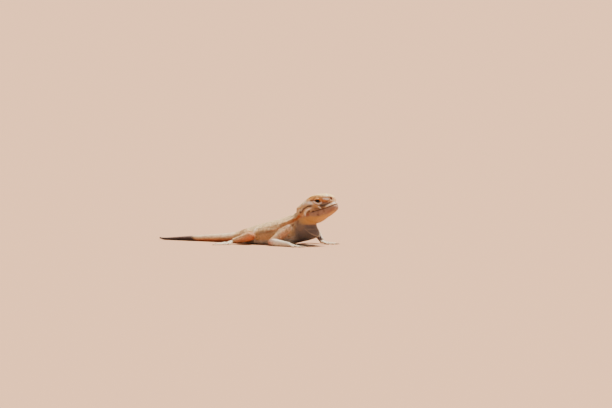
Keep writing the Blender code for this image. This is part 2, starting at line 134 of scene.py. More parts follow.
def softNoise(points, size, seed):
    # Smooth value noise from 0 to 1, with blobs about the given size.
    cells = 24
    table = np.random.default_rng(seed).random((cells, cells, cells))
    place = points / size + seed * 3.7
    cell = np.floor(place).astype(int)
    part = place - cell
    part = part * part * (3 - 2 * part)
    total = np.zeros(len(points))
    for dx in (0, 1):
        for dy in (0, 1):
            for dz in (0, 1):
                share = ((part[:, 0] if dx else 1 - part[:, 0]) * (part[:, 1] if dy else 1 - part[:, 1])
                         * (part[:, 2] if dz else 1 - part[:, 2]))
                corner = [(cell[:, k] + step) % cells for k, step in enumerate((dx, dy, dz))]
                total += share * table[tuple(corner)]
    return total


# Mesh helpers

def deselectAll():
    if bpy.context.object and bpy.context.object.mode != "OBJECT":
        bpy.ops.object.mode_set(mode="OBJECT")
    bpy.ops.object.select_all(action="DESELECT")


def makeActive(item):
    deselectAll()
    item.select_set(True)
    bpy.context.view_layer.objects.active = item


def applyAll(item):
    makeActive(item)
    for step in list(item.modifiers):
        bpy.ops.object.modifier_apply(modifier=step.name)


def pick(item, test, kind="VERT"):
    # Selects vertices or faces in edit mode by their place or normal.
    mesh = bmesh.from_edit_mesh(item.data)
    bpy.context.tool_settings.mesh_select_mode = (kind == "VERT", False, kind == "FACE")
    for face in mesh.faces:
        face.select_set(False)
    for vert in mesh.verts:
        vert.select_set(False)
    for element in (mesh.verts if kind == "VERT" else mesh.faces):
        if test(element):
            element.select_set(True)
    mesh.select_flush_mode()
    bmesh.update_edit_mesh(item.data)


def readValues(rows, name, width, kind=np.float32):
    values = np.empty(len(rows) * width, kind)
    rows.foreach_get(name, values)
    return values.reshape(-1, width)


def meshArrays(mesh):
    # Points in millimetres and triangles of a mesh.
    mesh.calc_loop_triangles()
    points = readValues(mesh.vertices, "co", 3).astype(float) / mm
    return points, readValues(mesh.loop_triangles, "vertices", 3, np.int32)


def takenShape(item):
    # The points and triangles of a small shape, whose object isn't needed any more.
    points, triangles = meshArrays(item.data)
    bpy.data.objects.remove(item, do_unlink=True)
    return points * mm, triangles


def meshFrom(name, points, triangles):
    mesh = bpy.data.meshes.new(name)
    mesh.vertices.add(len(points))
    mesh.vertices.foreach_set("co", (np.asarray(points) * mm).astype(np.float32).ravel())
    mesh.loops.add(len(triangles) * 3)
    mesh.loops.foreach_set("vertex_index", np.asarray(triangles, np.int32).ravel())
    mesh.polygons.add(len(triangles))
    mesh.polygons.foreach_set("loop_start", np.arange(0, len(triangles) * 3, 3, dtype=np.int32))
    mesh.update(calc_edges=True)
    mesh.validate()
    mesh.shade_smooth()
    item = bpy.data.objects.new(name, mesh)
    bpy.context.scene.collection.objects.link(item)
    return item


def roll(path, radii, cyclic=False, roundness=3):
    # A round roll of flesh or horn along a path, closed at its ends: points and triangles.
    curve = bpy.data.curves.new("roll", "CURVE")
    curve.dimensions = "3D"
    curve.bevel_depth = mm
    curve.bevel_resolution = roundness
    curve.use_fill_caps = not cyclic
    line = curve.splines.new("POLY")
    line.points.add(len(path) - 1)
    for point, place, radius in zip(line.points, path, radii):
        point.co = (*(Vector(place) * mm), 1.0)
        point.radius = radius
    line.use_cyclic_u = cyclic
    item = bpy.data.objects.new("roll", curve)
    bpy.context.scene.collection.objects.link(item)
    made = bpy.data.meshes.new_from_object(item.evaluated_get(bpy.context.evaluated_depsgraph_get()))
    bpy.data.objects.remove(item, do_unlink=True)
    mesh = bmesh.new()
    mesh.from_mesh(made)
    bmesh.ops.remove_doubles(mesh, verts=mesh.verts, dist=1e-6)
    bmesh.ops.recalc_face_normals(mesh, faces=mesh.faces)
    mesh.to_mesh(made)
    mesh.free()
    arrays = meshArrays(made)
    bpy.data.meshes.remove(made)
    return arrays


def joined(pieces):
    # The points and triangles of several pieces as one.
    points, triangles, count = [], [], 0
    for part, faces in pieces:
        points.append(part)
        triangles.append(faces + count)
        count += len(part)
    return np.concatenate(points), np.concatenate(triangles)


def welded(points, triangles, grain=0.0005):
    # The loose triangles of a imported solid, with their doubled corners merged.
    keys, index = np.unique(np.round(points / grain).astype(np.int64), axis=0, return_inverse=True)
    index = index.reshape(-1)
    merged = np.zeros((len(keys), 3))
    merged[index] = points
    triangles = index[triangles]
    whole = ((triangles[:, 0] != triangles[:, 1]) & (triangles[:, 1] != triangles[:, 2])
             & (triangles[:, 2] != triangles[:, 0]))
    return merged, triangles[whole]


def treeOf(points, triangles):
    return BVHTree.FromPolygons([Vector(p) for p in points], triangles.tolist())


def nearTree(places):
    tree = kdtree.KDTree(len(places))
    for i, place in enumerate(places):
        tree.insert(place, i)
    tree.balance()
    return tree


# Hands and feet: where each finger and toe runs, inner one first

limbPlan = {
    "hand_right": {"joint": (53.5, -24.0, 1.7), "heading": -8.0, "side": -1, "fore": True},
    "hand_left": {"joint": (60.1, 13.3, 1.9), "heading": 4.0, "side": 1, "fore": True},
    "foot_right": {"joint": (3.2, -17.2, 2.0), "heading": -104.0, "side": -1, "fore": False},
    "foot_left": {"joint": (2.6, 17.8, 2.0), "heading": 98.0, "side": 1, "fore": False},
}
# Digits are length and splay in degrees, the palm is length, half width and height.
handPlan = {
    "digits": ((3.4, 40.0), (5.2, 20.0), (6.4, 4.0), (6.2, -14.0), (4.2, -38.0)),
    "palm": (4.6, 2.5, 1.25), "radius": 0.62,
}
footPlan = {
    "digits": ((3.6, 34.0), (5.6, 20.0), (8.6, 8.0), (11.6, -4.0), (5.4, -36.0)),
    "palm": (6.4, 2.3, 1.35), "radius": 0.72,
}


def wayOf(plan):
    # The way that a hand or foot points over the ground.
    heading = math.radians(plan["heading"])
    return math.cos(heading), math.sin(heading)


digitShape = {
    "steps": 13,
    "taper": 0.32,          # share of its radius that a digit loses to its tip
    "swell": 0.07,          # how far the joints stand out
    "arch": ((0, 0.25, 0.5, 0.75, 1), (0.25, 0.75, 0.45, 0.1, 0.0)),     # along it, how high it stands
}


def digitLines(plan):
    # For each digit: its points, radii, direction and the radius at its root.
    kind = handPlan if plan["fore"] else footPlan
    palmLength, palmWidth, _ = kind["palm"]
    heading = math.radians(plan["heading"])
    ahead = Vector((*wayOf(plan), 0))
    across = Vector((-ahead.y, ahead.x, 0))
    start = onBody(*plan["joint"])
    lines = []
    for k, (length, splay) in enumerate(kind["digits"]):
        turn = heading + math.radians(-plan["side"] * splay)
        fromMiddle = 1 - 2 * k / 4
        setback = 0.74 - 0.18 * abs(fromMiddle)
        root = (start + ahead * palmLength * setback
                - across * plan["side"] * fromMiddle * palmWidth * 0.66)
        root.z = 0
        along = Vector((math.cos(turn), math.sin(turn), 0))
        full = length + palmLength * (1 - setback)
        points, radii = [], []
        knuckles = 3 if length < 5 else 4
        for t in np.linspace(0, 1, digitShape["steps"]):
            rise = np.interp(t, *digitShape["arch"]) * 0.9
            radius = kind["radius"]
            point = root + along * full * t
            point.z = radius * (1.0 - 0.35 * t + rise)
            points.append(point)
            swell = digitShape["swell"] * math.cos(2 * math.pi * knuckles * t)
            radii.append(radius * (1.0 - digitShape["taper"] * t) * (0.97 + swell))
        lines.append({"points": points, "radii": radii, "along": along, "length": full,
                      "radius": kind["radius"]})
    return lines


print("flesh: copies of the solids, closed up and fused into one skin")

fleshNodes = [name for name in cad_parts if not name.startswith("eye")]
fleshPlan = {
    "gap": 0.5,           # pieces nearer than this are drawn together before they are fused
    "overlap": 0.12,      # how far a face is moved into the piece that it meets
    "voxel": 0.26,
    "coat": 0.13,         # how deep the skin lies under the tips of the scales
    "lidRadius": 3.42, "lidRoll": 0.34,
    "opening": (2.4, 1.36),         # half width and half height of the slit
    "slant": 0.5, "wider": 0.18,    # how it slopes, and how much higher its front end is
    "lidRings": (1.06, 1.28, 1.48),
    "look": (0.44, 0.89, 0.0),      # line of sight: forward, out and up
}

nodeArrays = {name: welded(*meshArrays(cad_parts[name].data)) for name in fleshNodes}
nodeTrees = {name: treeOf(*arrays) for name, arrays in nodeArrays.items()}


def drawnTogether(name):
    # Moves the points of a joint's face a little way into the piece that it meets.
    points, triangles = nodeArrays[name]
    points = points.copy()
    for i, point in enumerate(points):
        best = None
        for other in fleshNodes:
            if other == name:
                continue
            place, _, _, distance = nodeTrees[other].find_nearest(Vector(point), fleshPlan["gap"])
            if place is not None and (best is None or distance < best[1]):
                best = (place, distance)
        if best is not None and best[1] > 1e-4:
            step = (best[0] - Vector(point)).normalized()
            points[i] = best[0] + step * fleshPlan["overlap"]
    return points, triangles


def eyeAxes(side):
    # Line of sight, the slit's direction and the way up across it.
    forward, out, up = fleshPlan["look"]
    look = (headTurn @ Vector((forward, side * out, up))).normalized()
    along = (headTurn @ Vector((1, 0, -fleshPlan["slant"]))).normalized()
    along = (along - look * along.dot(look)).normalized()
    return look, along, along.cross(look) * side


def lidPoint(side, angle, radius, spread=1.0):
    # A place on the edge of the lids, on a sphere round the middle of the eye.
    look, along, above = eyeAxes(side)
    halfWidth, halfHeight = fleshPlan["opening"]
    across = halfWidth * spread * math.cos(angle)
    high = halfHeight * spread * math.copysign(abs(math.sin(angle)) ** 1.35, math.sin(angle))
    high *= 1 + fleshPlan["wider"] * math.cos(angle)
    reach = math.sqrt(max(0.1, radius ** 2 - min(across ** 2 + high ** 2, radius ** 2 * 0.97)))
    return eyeMiddle[side] + along * across + above * high + look * reach


# Share of the palm's length and share of its half width there
palmWidths = ((-0.35, 0.62), (-0.1, 0.8), (0.15, 0.88), (0.4, 0.96), (0.65, 1.0), (0.9, 0.8), (1.05, 0.5))


def palmOf(plan):
    # A flat ellipsoid from the wrist or ankle to the roots of the digits.
    kind = handPlan if plan["fore"] else footPlan
    length, width, height = kind["palm"]
    ahead = Vector((*wayOf(plan), 0))
    start = onBody(*plan["joint"])
    path, radii = [], []
    for t, wide in palmWidths:
        point = start + ahead * length * t
        fall = min(1.0, max(0.0, t * 1.3))
        point.z = start.z * (1 - fall) + height * 0.62 * fall
        path.append(point)
        radii.append(width * wide)
    points, triangles = roll(path, radii)
    along = (points - np.array(start)) @ np.array(ahead) / length
    base = np.interp(along, (-0.35, 0.0, 0.9), (start.z, start.z, height * 0.62))
    flat = np.interp(along, (-0.35, 0.0, 0.3, 1.0), (0.8, 0.62, 0.46, 0.32))
    points[:, 2] = base + (points[:, 2] - base) * flat
    return points, triangles


def fleshMesh():
    pieces = []
    for name in fleshNodes:
        if name in limbPlan:
            continue
        pieces.append(drawnTogether(name))
    for plan in limbPlan.values():
        pieces.append(palmOf(plan))
        for line in digitLines(plan):
            pieces.append(roll(line["points"], line["radii"]))
    for side, _ in sides:
        for spread in fleshPlan["lidRings"]:
            rim = [lidPoint(side, angle, fleshPlan["lidRadius"], spread)
                   for angle in np.linspace(0, 2 * math.pi, 40, endpoint=False)]
            pieces.append(roll(rim, [fleshPlan["lidRoll"]] * len(rim), cyclic=True))
    return joined(pieces)


skin = meshFrom("skin", *fleshMesh())
skin.data.shade_flat()
remesh = skin.modifiers.new("fuse", "REMESH")
remesh.mode = "VOXEL"
remesh.voxel_size = fleshPlan["voxel"] * mm
remesh.adaptivity = 0.0
applyAll(skin)
print("  fused faces", len(skin.data.polygons))


def neighbourTable(mesh):
    # For each point its neighbours, the row filled up with the point itself, and their number.
    pairs = readValues(mesh.edges, "vertices", 2, np.int32)
    both = np.concatenate((pairs, pairs[:, ::-1]))
    both = both[np.argsort(both[:, 0], kind="stable")]
    counts = np.bincount(both[:, 0], minlength=len(mesh.vertices))
    starts = np.concatenate(([0], np.cumsum(counts)[:-1]))
    table = np.repeat(np.arange(len(mesh.vertices))[:, None], counts.max(), 1)
    table[both[:, 0], np.arange(len(both)) - starts[both[:, 0]]] = both[:, 1]
    return table, counts


def averaged(values, table, counts):
    shape = (-1,) + (1,) * (values.ndim - 1)
    spare = (table.shape[1] - counts).reshape(shape)
    return (values[table].sum(1) - values * spare) / counts.reshape(shape)


def smoothed(points, table, counts, share, rounds):
    # Evens out facets and joints without shrinking the form.
    for _ in range(rounds):
        points = points + 0.55 * share * (averaged(points, table, counts) - points)
        points = points - 0.57 * share * (averaged(points, table, counts) - points)
    return points


def pointsOf(item):
    return readValues(item.data.vertices, "co", 3).astype(float) / mm


def normalsOf(item):
    return readValues(item.data.vertices, "normal", 3).astype(float)


def setPoints(item, points):
    item.data.vertices.foreach_set("co", (points * mm).astype(np.float32).ravel())
    item.data.update()


def stepsOf(line):
    # How far along a line each of its points is.
    return np.concatenate(([0], np.cumsum(np.linalg.norm(np.diff(line, axis=0), axis=1))))


def placesAt(distance, steps, line):
    return np.stack([np.interp(distance, steps, line[:, k]) for k in range(3)], 1)


def distanceTo(points, path):
    # Distance of many points to a line through a few places, and how far along it they are.
    best = np.full(len(points), 1e9)
    along = np.zeros(len(points))
    path = np.array([list(p) for p in path], float)
    for k, (a, b) in enumerate(zip(path, path[1:])):
        span = b - a
        t = np.clip(((points - a) @ span) / (span @ span), 0, 1)
        gap = np.linalg.norm(points - (a + t[:, None] * span), axis=1)
        nearer = gap < best
        best[nearer] = gap[nearer]
        along[nearer] = (k + t[nearer]) / (len(path) - 1)
    return best, along


smoothPlan = {
    "eye": (4.0, 6.0), "leastByEye": 0.12,      # the smoothing comes in over this way from the eye
    "headEnd": (22, 30),
    "footReach": 22, "footBefore": 0.5, "footHeight": 4.0,     # hands and feet lie within these
    "rounds": {"all": 6, "head": 14, "body": 70}, "headStrength": 0.5,
}
table, counts = neighbourTable(skin.data)
points = pointsOf(skin)
back, _, _ = headPlaces(points)
toEye = np.minimum(*[farFrom(points, eyeMiddle[side]) for side, _ in sides])
eyeShare = ramp(toEye, *smoothPlan["eye"])
headShare = 1 - ramp(back, *smoothPlan["headEnd"])
feet = np.zeros(len(points), bool)
for plan in limbPlan.values():
    joint = np.array(onBody(*plan["joint"]))
    near = farFrom(points, joint) < smoothPlan["footReach"]
    ahead = (points - joint) @ np.array((*wayOf(plan), 0)) > smoothPlan["footBefore"]
    feet |= near & ahead & (points[:, 2] < smoothPlan["footHeight"])
bodyShare = np.where(feet, 0.0, 1.0) * (1 - headShare)
faceShare = smoothPlan["headStrength"] * headShare * eyeShare * (1 - feet)
allShare = np.maximum(smoothPlan["leastByEye"], eyeShare)
for name, share in (("all", allShare), ("head", faceShare), ("body", bodyShare)):
    points = smoothed(points, table, counts, share[:, None], smoothPlan["rounds"][name])
setPoints(skin, points)

# Folds and grooves: how wide each spreads, how high it stands, and the line that it follows.
# Places are back, out, up on the head, or x, y, z on the body, for the right side.
headFolds = (
    (0.6, 0.4, ((15.3, -10.2, 1.9), (17.2, -10.5, 2.3), (19.5, -10.4, 1.7), (21.2, -9.9, 0.0),
                (21.8, -9.5, -2.6))),
    (0.9, -0.4, ((16.8, -10.4, 0.6), (19.0, -10.3, -0.2), (19.8, -9.9, -2.4))),
    (0.5, 0.25, ((6.0, -7.4, 0.9), (9.0, -8.4, 1.0), (12.5, -9.4, 1.8), (15.0, -9.9, 3.0))),
    (0.9, -0.35, ((15.2, -9.2, 4.6), (18.5, -9.2, 5.2), (21.5, -9.0, 4.4))),
    (0.7, 0.42, ((3.0, -4.4, 5.6), (6.0, -6.2, 7.0), (9.0, -7.8, 8.2), (12.0, -8.5, 8.6),
                 (15.4, -8.2, 7.8))),
    (0.9, -0.4, ((3.2, -5.4, 2.6), (6.0, -6.4, 2.9), (7.6, -7.2, 3.0))),
    (0.6, -0.35, ((22.6, -8.8, 5.0), (23.8, -8.8, 3.0), (24.2, -8.8, -0.4), (23.2, -8.8, -4.0))),
    (0.8, 0.2, ((23.0, -9.0, -3.0), (20.0, -8.8, -6.4), (15.0, -7.6, -7.6))),
)
bodyFolds = (
    (0.9, 0.22, ((50.6, -8.2, 25.0), (51.8, -9.6, 20.0), (54.5, -9.9, 14.0), (57.0, -8.0, 10.5),
                 (60.5, -4.0, 10.6), (62.2, 0.0, 10.9))),
    (0.8, 0.35, ((48.6, -8.6, 23.5), (49.8, -10.2, 18.0), (51.5, -10.8, 12.5))),
    (0.6, -0.3, ((49.4, -8.4, 25.0), (50.6, -10.0, 19.0), (53.0, -10.4, 13.0))),
    (1.1, -0.6, ((39.0, -12.6, 12.9), (43.4, -12.2, 14.6), (46.7, -10.9, 16.2), (50.0, -9.5, 18.4))),
    (1.1, 0.5, ((38.6, -11.6, 15.4), (44.0, -10.8, 17.3), (48.0, -9.6, 19.6), (51.0, -8.0, 21.6))),
    (1.1, 0.7, ((19.0, -10.4, 11.5), (18.3, -12.8, 7.5), (18.8, -13.9, 3.5), (19.8, -13.2, 0.6))),
    (0.9, -0.35, ((22.0, -12.0, 10.5), (21.6, -13.9, 6.5), (22.2, -14.4, 2.6))),
    (1.0, 0.4, ((41.5, -12.6, 12.0), (38.5, -14.0, 8.0), (36.0, -14.4, 4.0))),
    (1.2, -0.3, ((29.0, -12.6, 12.0), (33.0, -13.0, 12.2), (37.5, -12.8, 12.8))),
    (0.9, -0.45, ((43.5, -13.6, 11.5), (45.2, -12.0, 9.0), (46.0, -11.6, 5.5))),
)


def bothSides(line, onPlace):
    for side, _ in sides:
        yield [onPlace(a, side * abs(b) if b else 0.0, c) for a, b, c in line]


def raiseFolds(points, normals):
    lift = np.zeros(len(points))
    for folds, onPlace in ((headFolds, onHead), (bodyFolds, onBody)):
        for width, height, line in folds:
            for path in bothSides(line, onPlace):
                snapped = [skinTree.find_nearest(place)[0] for place in path]
                gap, along = distanceTo(points, snapped)
                ends = np.clip(np.minimum(along, 1 - along) * 5 + 0.25, 0, 1)
                lift += height * ends * gauss(gap, width)
    return points + normals * lift[:, None]


points = pointsOf(skin)
skinTree = treeOf(points, meshArrays(skin.data)[1])
points = raiseFolds(points, normalsOf(skin))
setPoints(skin, points)


def calmNormals(normals, rounds=4):
    for _ in range(rounds):
        normals = averaged(normals, table, counts)
    return normals / np.linalg.norm(normals, axis=1)[:, None]


# Mouth line, lips and nostrils: height, place above the mouth line and width of each

mouthForms = {"groove": (-0.38, 0.0, 0.2), "upperLip": (0.14, 0.75, 0.42), "lowerLip": (0.1, -0.8, 0.45)}
nostril = {"back": 1.1, "out": 3.0, "up": 3.6, "rim": (0.22, 1.05, 0.35), "pit": (0.35, 0.6)}

normals = normalsOf(skin)
back, _, up = headPlaces(points)
fromMouth = up - mouthUp(back)
mouthShare = 1 - ramp(back, bodyPlan["mouthCorner"] - 0.6, bodyPlan["mouthCorner"] + 0.8)
onHeadSkin = (back < 24) & (up > -9)
lipHeight = sum(height * gauss(fromMouth - place, width) for height, place, width in mouthForms.values())
points = points + calmNormals(normals) * (lipHeight * mouthShare * onHeadSkin)[:, None]
nearMouth = gauss(fromMouth, 0.6) * mouthShare * onHeadSkin
points = smoothed(points, table, counts, (0.8 * nearMouth)[:, None], 3)
for side, _ in sides:
    aim = onHead(nostril["back"] - 0.3, side * (nostril["out"] + 0.4), nostril["up"])
    gap = farFrom(points, skinTree.find_nearest(aim)[0])
    rimHeight, rimRadius, rimWidth = nostril["rim"]
    pitDepth, pitWidth = nostril["pit"]
    lift = rimHeight * gauss(gap - rimRadius, rimWidth) - pitDepth * gauss(gap, pitWidth)
    points = points + normals * lift[:, None]

# The skin lies a scale's depth below the solids, clear of the eyeballs and above the floor
coatShare = ramp(toEye, 4.2, 5.6) * np.where(feet, 0.45, 1.0)
points = points - normals * (fleshPlan["coat"] * coatShare)[:, None]
eyeball = {"radius": 3.12, "clear": 0.06}
for side, _ in sides:
    middle = np.array(eyeMiddle[side])
    arm = points - middle
    reach = np.linalg.norm(arm, axis=1)
    least = eyeball["radius"] + eyeball["clear"]
    close = reach < least
    points[close] = middle + arm[close] / reach[close][:, None] * least
points = np.clip(points, boxLow, boxHigh)
setPoints(skin, points)
print("  skin shaped")


# The skin is thinned where the scales hide it, and the face and the feet stay fine

thinTo = 0.44


def thinSkin():
    back, _, _ = headPlaces(pointsOf(skin))
    plain = (back > 26) & ~feet
    group = skin.vertex_groups.new(name="plain")
    group.add(np.nonzero(plain)[0].tolist(), 1.0, "REPLACE")
    thin = skin.modifiers.new("thin", "DECIMATE")
    thin.vertex_group = "plain"
    thin.ratio = thinTo
    applyAll(skin)
    skin.vertex_groups.clear()
    skin.data.shade_smooth()


thinSkin()
skinPoints, skinTriangles = meshArrays(skin.data)
skinNormals = normalsOf(skin)
skinTree = treeOf(skinPoints, skinTriangles)
table, counts = neighbourTable(skin.data)
print("  skin triangles", len(skinTriangles))


# Which part of the body each place belongs to

allPoints, allTriangles = joined([nodeArrays[name] for name in fleshNodes])
allTree = treeOf(allPoints, allTriangles)
nodeOfTriangle = np.concatenate([np.full(len(nodeArrays[name][1]), k) for k, name in enumerate(fleshNodes)])


def nodesAt(places):
    # The solid that each place lies on, as an index in fleshNodes.
    return np.array([nodeOfTriangle[allTree.find_nearest(Vector(place))[2]] for place in places])


def nodeIs(nodes, *words):
    # Which of the places belong to nodes with names that start so.
    wanted = [k for k, name in enumerate(fleshNodes) if name.startswith(words)]
    return np.isin(nodes, wanted)


# Markings, with painted light and shade. The skin and every scale read their colour from this one function
# of place.

toneTable = {
    "cream": (238, 201, 148), "paleCream": (252, 230, 188), "sand": (196, 150, 104),
    "speck": (118, 84, 56), "olive": (160, 138, 92), "belly": (236, 222, 204),
    "paintedGrooveShade": (182, 94, 26), "crown": (244, 206, 134), "headSide": (212, 168, 122),
    "brow": (200, 120, 34), "loreal": (128, 78, 62), "lorealBand": (48, 32, 32),
    "lip": (240, 220, 198), "mouth": (44, 26, 24), "jaw": (172, 136, 116),
    "jawBar": (84, 52, 50), "throat": (210, 162, 96),
    "lidLine": (222, 218, 222), "lidDark": (34, 24, 26), "temple": (250, 238, 218),
    "cheekStripe": (92, 48, 34), "flap": (252, 238, 218), "flapInside": (78, 42, 32),
    "flapLow": (164, 72, 30), "cheek": (112, 70, 52), "jawRed": (170, 92, 44),
    "crownGold": (242, 186, 100), "white": (255, 250, 240), "tan": (206, 150, 84),
    "nostrilRim": (136, 48, 28), "nostril": (40, 14, 12), "neckSide": (156, 128, 106),
    "neckSpot": (96, 48, 26), "chest": (102, 96, 98), "chestEdge": (128, 114, 108),
    "limb": (238, 194, 148), "limbNet": (110, 70, 50), "elbow": (178, 84, 52),
    "forearm": (255, 240, 216), "armRed": (222, 156, 120), "armInsidePaintedShade": (60, 24, 22),
    "thighUnderAndBounce": (196, 108, 58), "paintedGroinShade": (92, 52, 36), "toe": (255, 240, 214),
    "tailTop": (252, 224, 188), "tailUnderAndBounce": (160, 74, 30), "tailBar": (180, 140, 106),
    "tailEnd": (44, 32, 32), "tailEndTop": (124, 98, 92),
}


def linear(colour):
    # A colour of 0 to 255 as the shader's linear values.
    value = np.array(colour, float) / 255
    return np.where(value <= 0.04045, value / 12.92, ((value + 0.055) / 1.055) ** 2.4)


tones = {name: linear(colour) for name, colour in toneTable.items()}

# Strokes on the right side, mirrored to the left: tone, width, strength and the places on the
# line, which are back, out, up on the head and x, y, z on the body.
headStrokes = (
    ("cheek", 1.5, 0.75, ((13.8, -9.6, 0.6), (11.0, -9.4, -0.2), (6.4, -7.9, -0.6))),
    ("loreal", 1.5, 0.95, ((7.4, -7.2, 3.4), (5.5, -6.6, 2.8), (3.2, -5.4, 2.1))),
    ("brow", 0.9, 1.0, ((13.1, -8.5, 7.1), (10.3, -8.6, 6.9), (7.6, -8.0, 5.6), (5.6, -6.6, 4.3),
                        (3.4, -5.4, 2.9))),
    ("brow", 0.7, 0.5, ((8.2, -7.0, 4.2), (6.6, -7.0, 3.4))),
    # painted highlight: a white streak along the ridge in front of the eye, where it catches the light
    ("white", 0.62, 0.85, ((6.2, -6.2, 5.6), (4.6, -5.6, 4.8), (3.0, -4.7, 4.1))),
    ("temple", 1.3, 0.95, ((14.2, -9.2, 4.9), (16.6, -8.5, 6.2), (19.8, -7.2, 7.2), (22.6, -6.8, 6.6))),
    ("white", 0.9, 1.0, ((13.8, -9.2, 4.7), (15.2, -8.8, 5.4), (17.4, -8.2, 6.5))),
    ("cheekStripe", 1.05, 1.0, ((23.9, -9.0, 0.8), (23.4, -9.0, 2.2), (21.6, -9.0, 3.3),
                                (18.5, -9.7, 3.7), (16.4, -9.8, 3.7), (14.3, -9.3, 2.8))),
    ("tan", 0.6, 0.9, ((13.4, -9.0, 2.6), (12.0, -9.2, 1.4), (10.6, -8.9, 0.8))),
    ("lorealBand", 1.25, 0.95, ((9.0, -8.3, 1.6), (7.4, -8.0, 0.9), (5.4, -7.1, 0.6))),
    ("lorealBand", 0.55, 0.95, ((5.8, -7.0, 0.8), (3.7, -5.9, 0.95), (1.9, -4.6, 1.15))),
    ("lip", 0.6, 1.0, ((5.4, -7.0, -0.75), (3.6, -6.0, -0.3), (2.0, -4.9, -0.05), (0.0, -1.0, 0.15))),
    ("white", 0.6, 0.95, ((1.2, -3.6, 0.15), (0.2, -1.4, 0.3))),
    ("temple", 0.4, 1.0, ((10.4, -8.7, 1.4), (9.5, -8.7, 0.2), (8.9, -8.6, -0.8))),
    ("jawBar", 0.8, 0.8, ((14.9, -10.2, -0.2), (14.3, -10.2, -1.9))),
    ("flapInside", 1.2, 0.95, ((20.2, -10.4, -0.5), (18.4, -10.7, -0.2), (16.6, -10.5, 0.1))),
    ("flapLow", 0.9, 0.95, ((21.1, -10.1, -1.5), (18.6, -10.4, -2.2))),
    ("flap", 0.46, 0.95, ((22.0, -9.8, -1.6), (21.2, -10.5, 0.1), (19.5, -10.9, 1.3),
                          (17.7, -10.5, 1.75), (15.2, -10.1, 1.9))),
    ("white", 0.6, 0.9, ((18.9, -10.7, 1.35), (16.4, -10.4, 1.8))),
    ("jawBar", 0.55, 0.5, ((7.5, -8.0, -1.9), (7.7, -7.8, -4.0))),
    ("jawBar", 0.6, 0.5, ((11.4, -9.4, -2.0), (11.8, -9.3, -3.0))),
    ("jawBar", 0.8, 0.8, ((11.8, -9.0, -4.3), (12.8, -9.1, -4.4))),
    ("jawRed", 1.1, 0.35, ((1.0, -3.2, -3.3), (3.6, -5.2, -4.3), (6.4, -6.6, -5.2))),
    ("neckSpot", 0.95, 1.0, ((25.6, -8.0, 2.6), (24.8, -8.7, 1.0))),
    ("paleCream", 0.55, 0.9, ((21.6, -8.2, 4.9), (23.4, -8.2, 3.9), (24.6, -8.4, 2.4))),
    ("paleCream", 0.9, 0.9, ((25.3, -7.2, 4.2), (26.8, -7.4, 3.2), (27.8, -7.6, 1.2))),
    ("olive", 0.6, 0.7, ((22.9, -9.3, 1.8), (22.9, -9.4, 0.2))),
    ("olive", 0.9, 0.45, ((2.0, -2.0, 6.4), (3.4, -1.4, 7.4))),
    ("brow", 0.7, 0.45, ((6.0, -4.2, 8.7), (7.4, -4.6, 9.2))),
    ("crownGold", 1.4, 0.9, ((15.4, -7.4, 8.4), (12.4, -7.8, 9.0), (8.4, -7.0, 8.2))),
    ("olive", 0.6, 0.35, ((9.6, -2.0, 9.8), (10.6, 0.0, 10.1))),
)
bodyStrokes = (
    ("neckSide", 2.6, 0.85, ((50.5, -9.6, 17.0), (53.0, -10.0, 14.5), (56.0, -9.0, 11.0))),
    ("neckSpot", 0.6, 0.7, ((52.4, -9.8, 19.0), (52.8, -10.0, 14.6))),
    # painted shade, warm orange-brown, along the groove under the back's edge from the flank up to the neck
    ("paintedGrooveShade", 1.4, 1.0, ((39.6, -12.9, 12.6), (43.7, -12.4, 14.6), (46.9, -11.2, 16.1),
                          (50.6, -8.9, 18.6), (51.8, -8.4, 20.0), (54.2, -8.3, 21.9))),
    ("paintedGrooveShade", 0.8, 0.7, ((28.6, -14.0, 9.2), (35.2, -13.8, 10.8), (40.5, -12.9, 12.8))),
    ("neckSpot", 0.9, 0.85, ((48.8, -11.4, 14.9), (49.9, -11.2, 14.5))),
    ("white", 1.3, 0.95, ((46.0, -13.4, 13.4), (48.5, -12.2, 12.2))),
    # painted highlight: a white band along the lit edge of the fold in front of the knee
    ("white", 1.0, 0.8, ((18.6, -10.4, 11.5), (18.0, -12.8, 7.5), (18.6, -13.9, 3.5),
                         (19.6, -13.2, 0.6))),
    ("sand", 3.4, 0.75, ((24.0, -14.2, 5.2), (30.0, -14.4, 6.2), (36.0, -14.0, 7.4))),
    ("speck", 1.2, 0.5, ((22.0, -13.4, 8.3), (28.0, -14.2, 8.9), (34.0, -13.8, 10.2))),
    # painted shade in the groin, behind and under the thigh
    ("paintedGroinShade", 2.6, 0.85, ((8.0, -8.6, 1.6), (12.5, -10.0, 2.4), (16.6, -11.6, 3.4))),
)


bendTones = (    # elbows and knees: place, tone and reach
    ((36.2, -21.6, 2.0), "elbow", 3.2), ((48.2, 23.6, 9.6), "elbow", 3.2),
    ((19.0, -18.8, 6.2), "thighUnderAndBounce", 4.2), ((18.2, 19.2, 6.0), "thighUnderAndBounce", 4.2),
)
# Heights along the head, each at its distance back: the crown's edge and the throat's
crownLine = ((0, 4, 10, 20, 29), (5.0, 6.8, 8.8, 7.2, 5.0))
throatEdge = ((0, 4, 8, 12, 17, 23, 29), (-5.2, -5.4, -5.8, -5.6, -4.0, -2.2, -1.6))


def net(places, size, seed, line=0.055):
    # Fine dark lines that join in a net.
    first = gauss(softNoise(places, size, seed) - 0.5, line)
    second = gauss(softNoise(places, size * 0.62, seed + 1) - 0.5, line * 0.9)
    return np.maximum(first, second * 0.7)


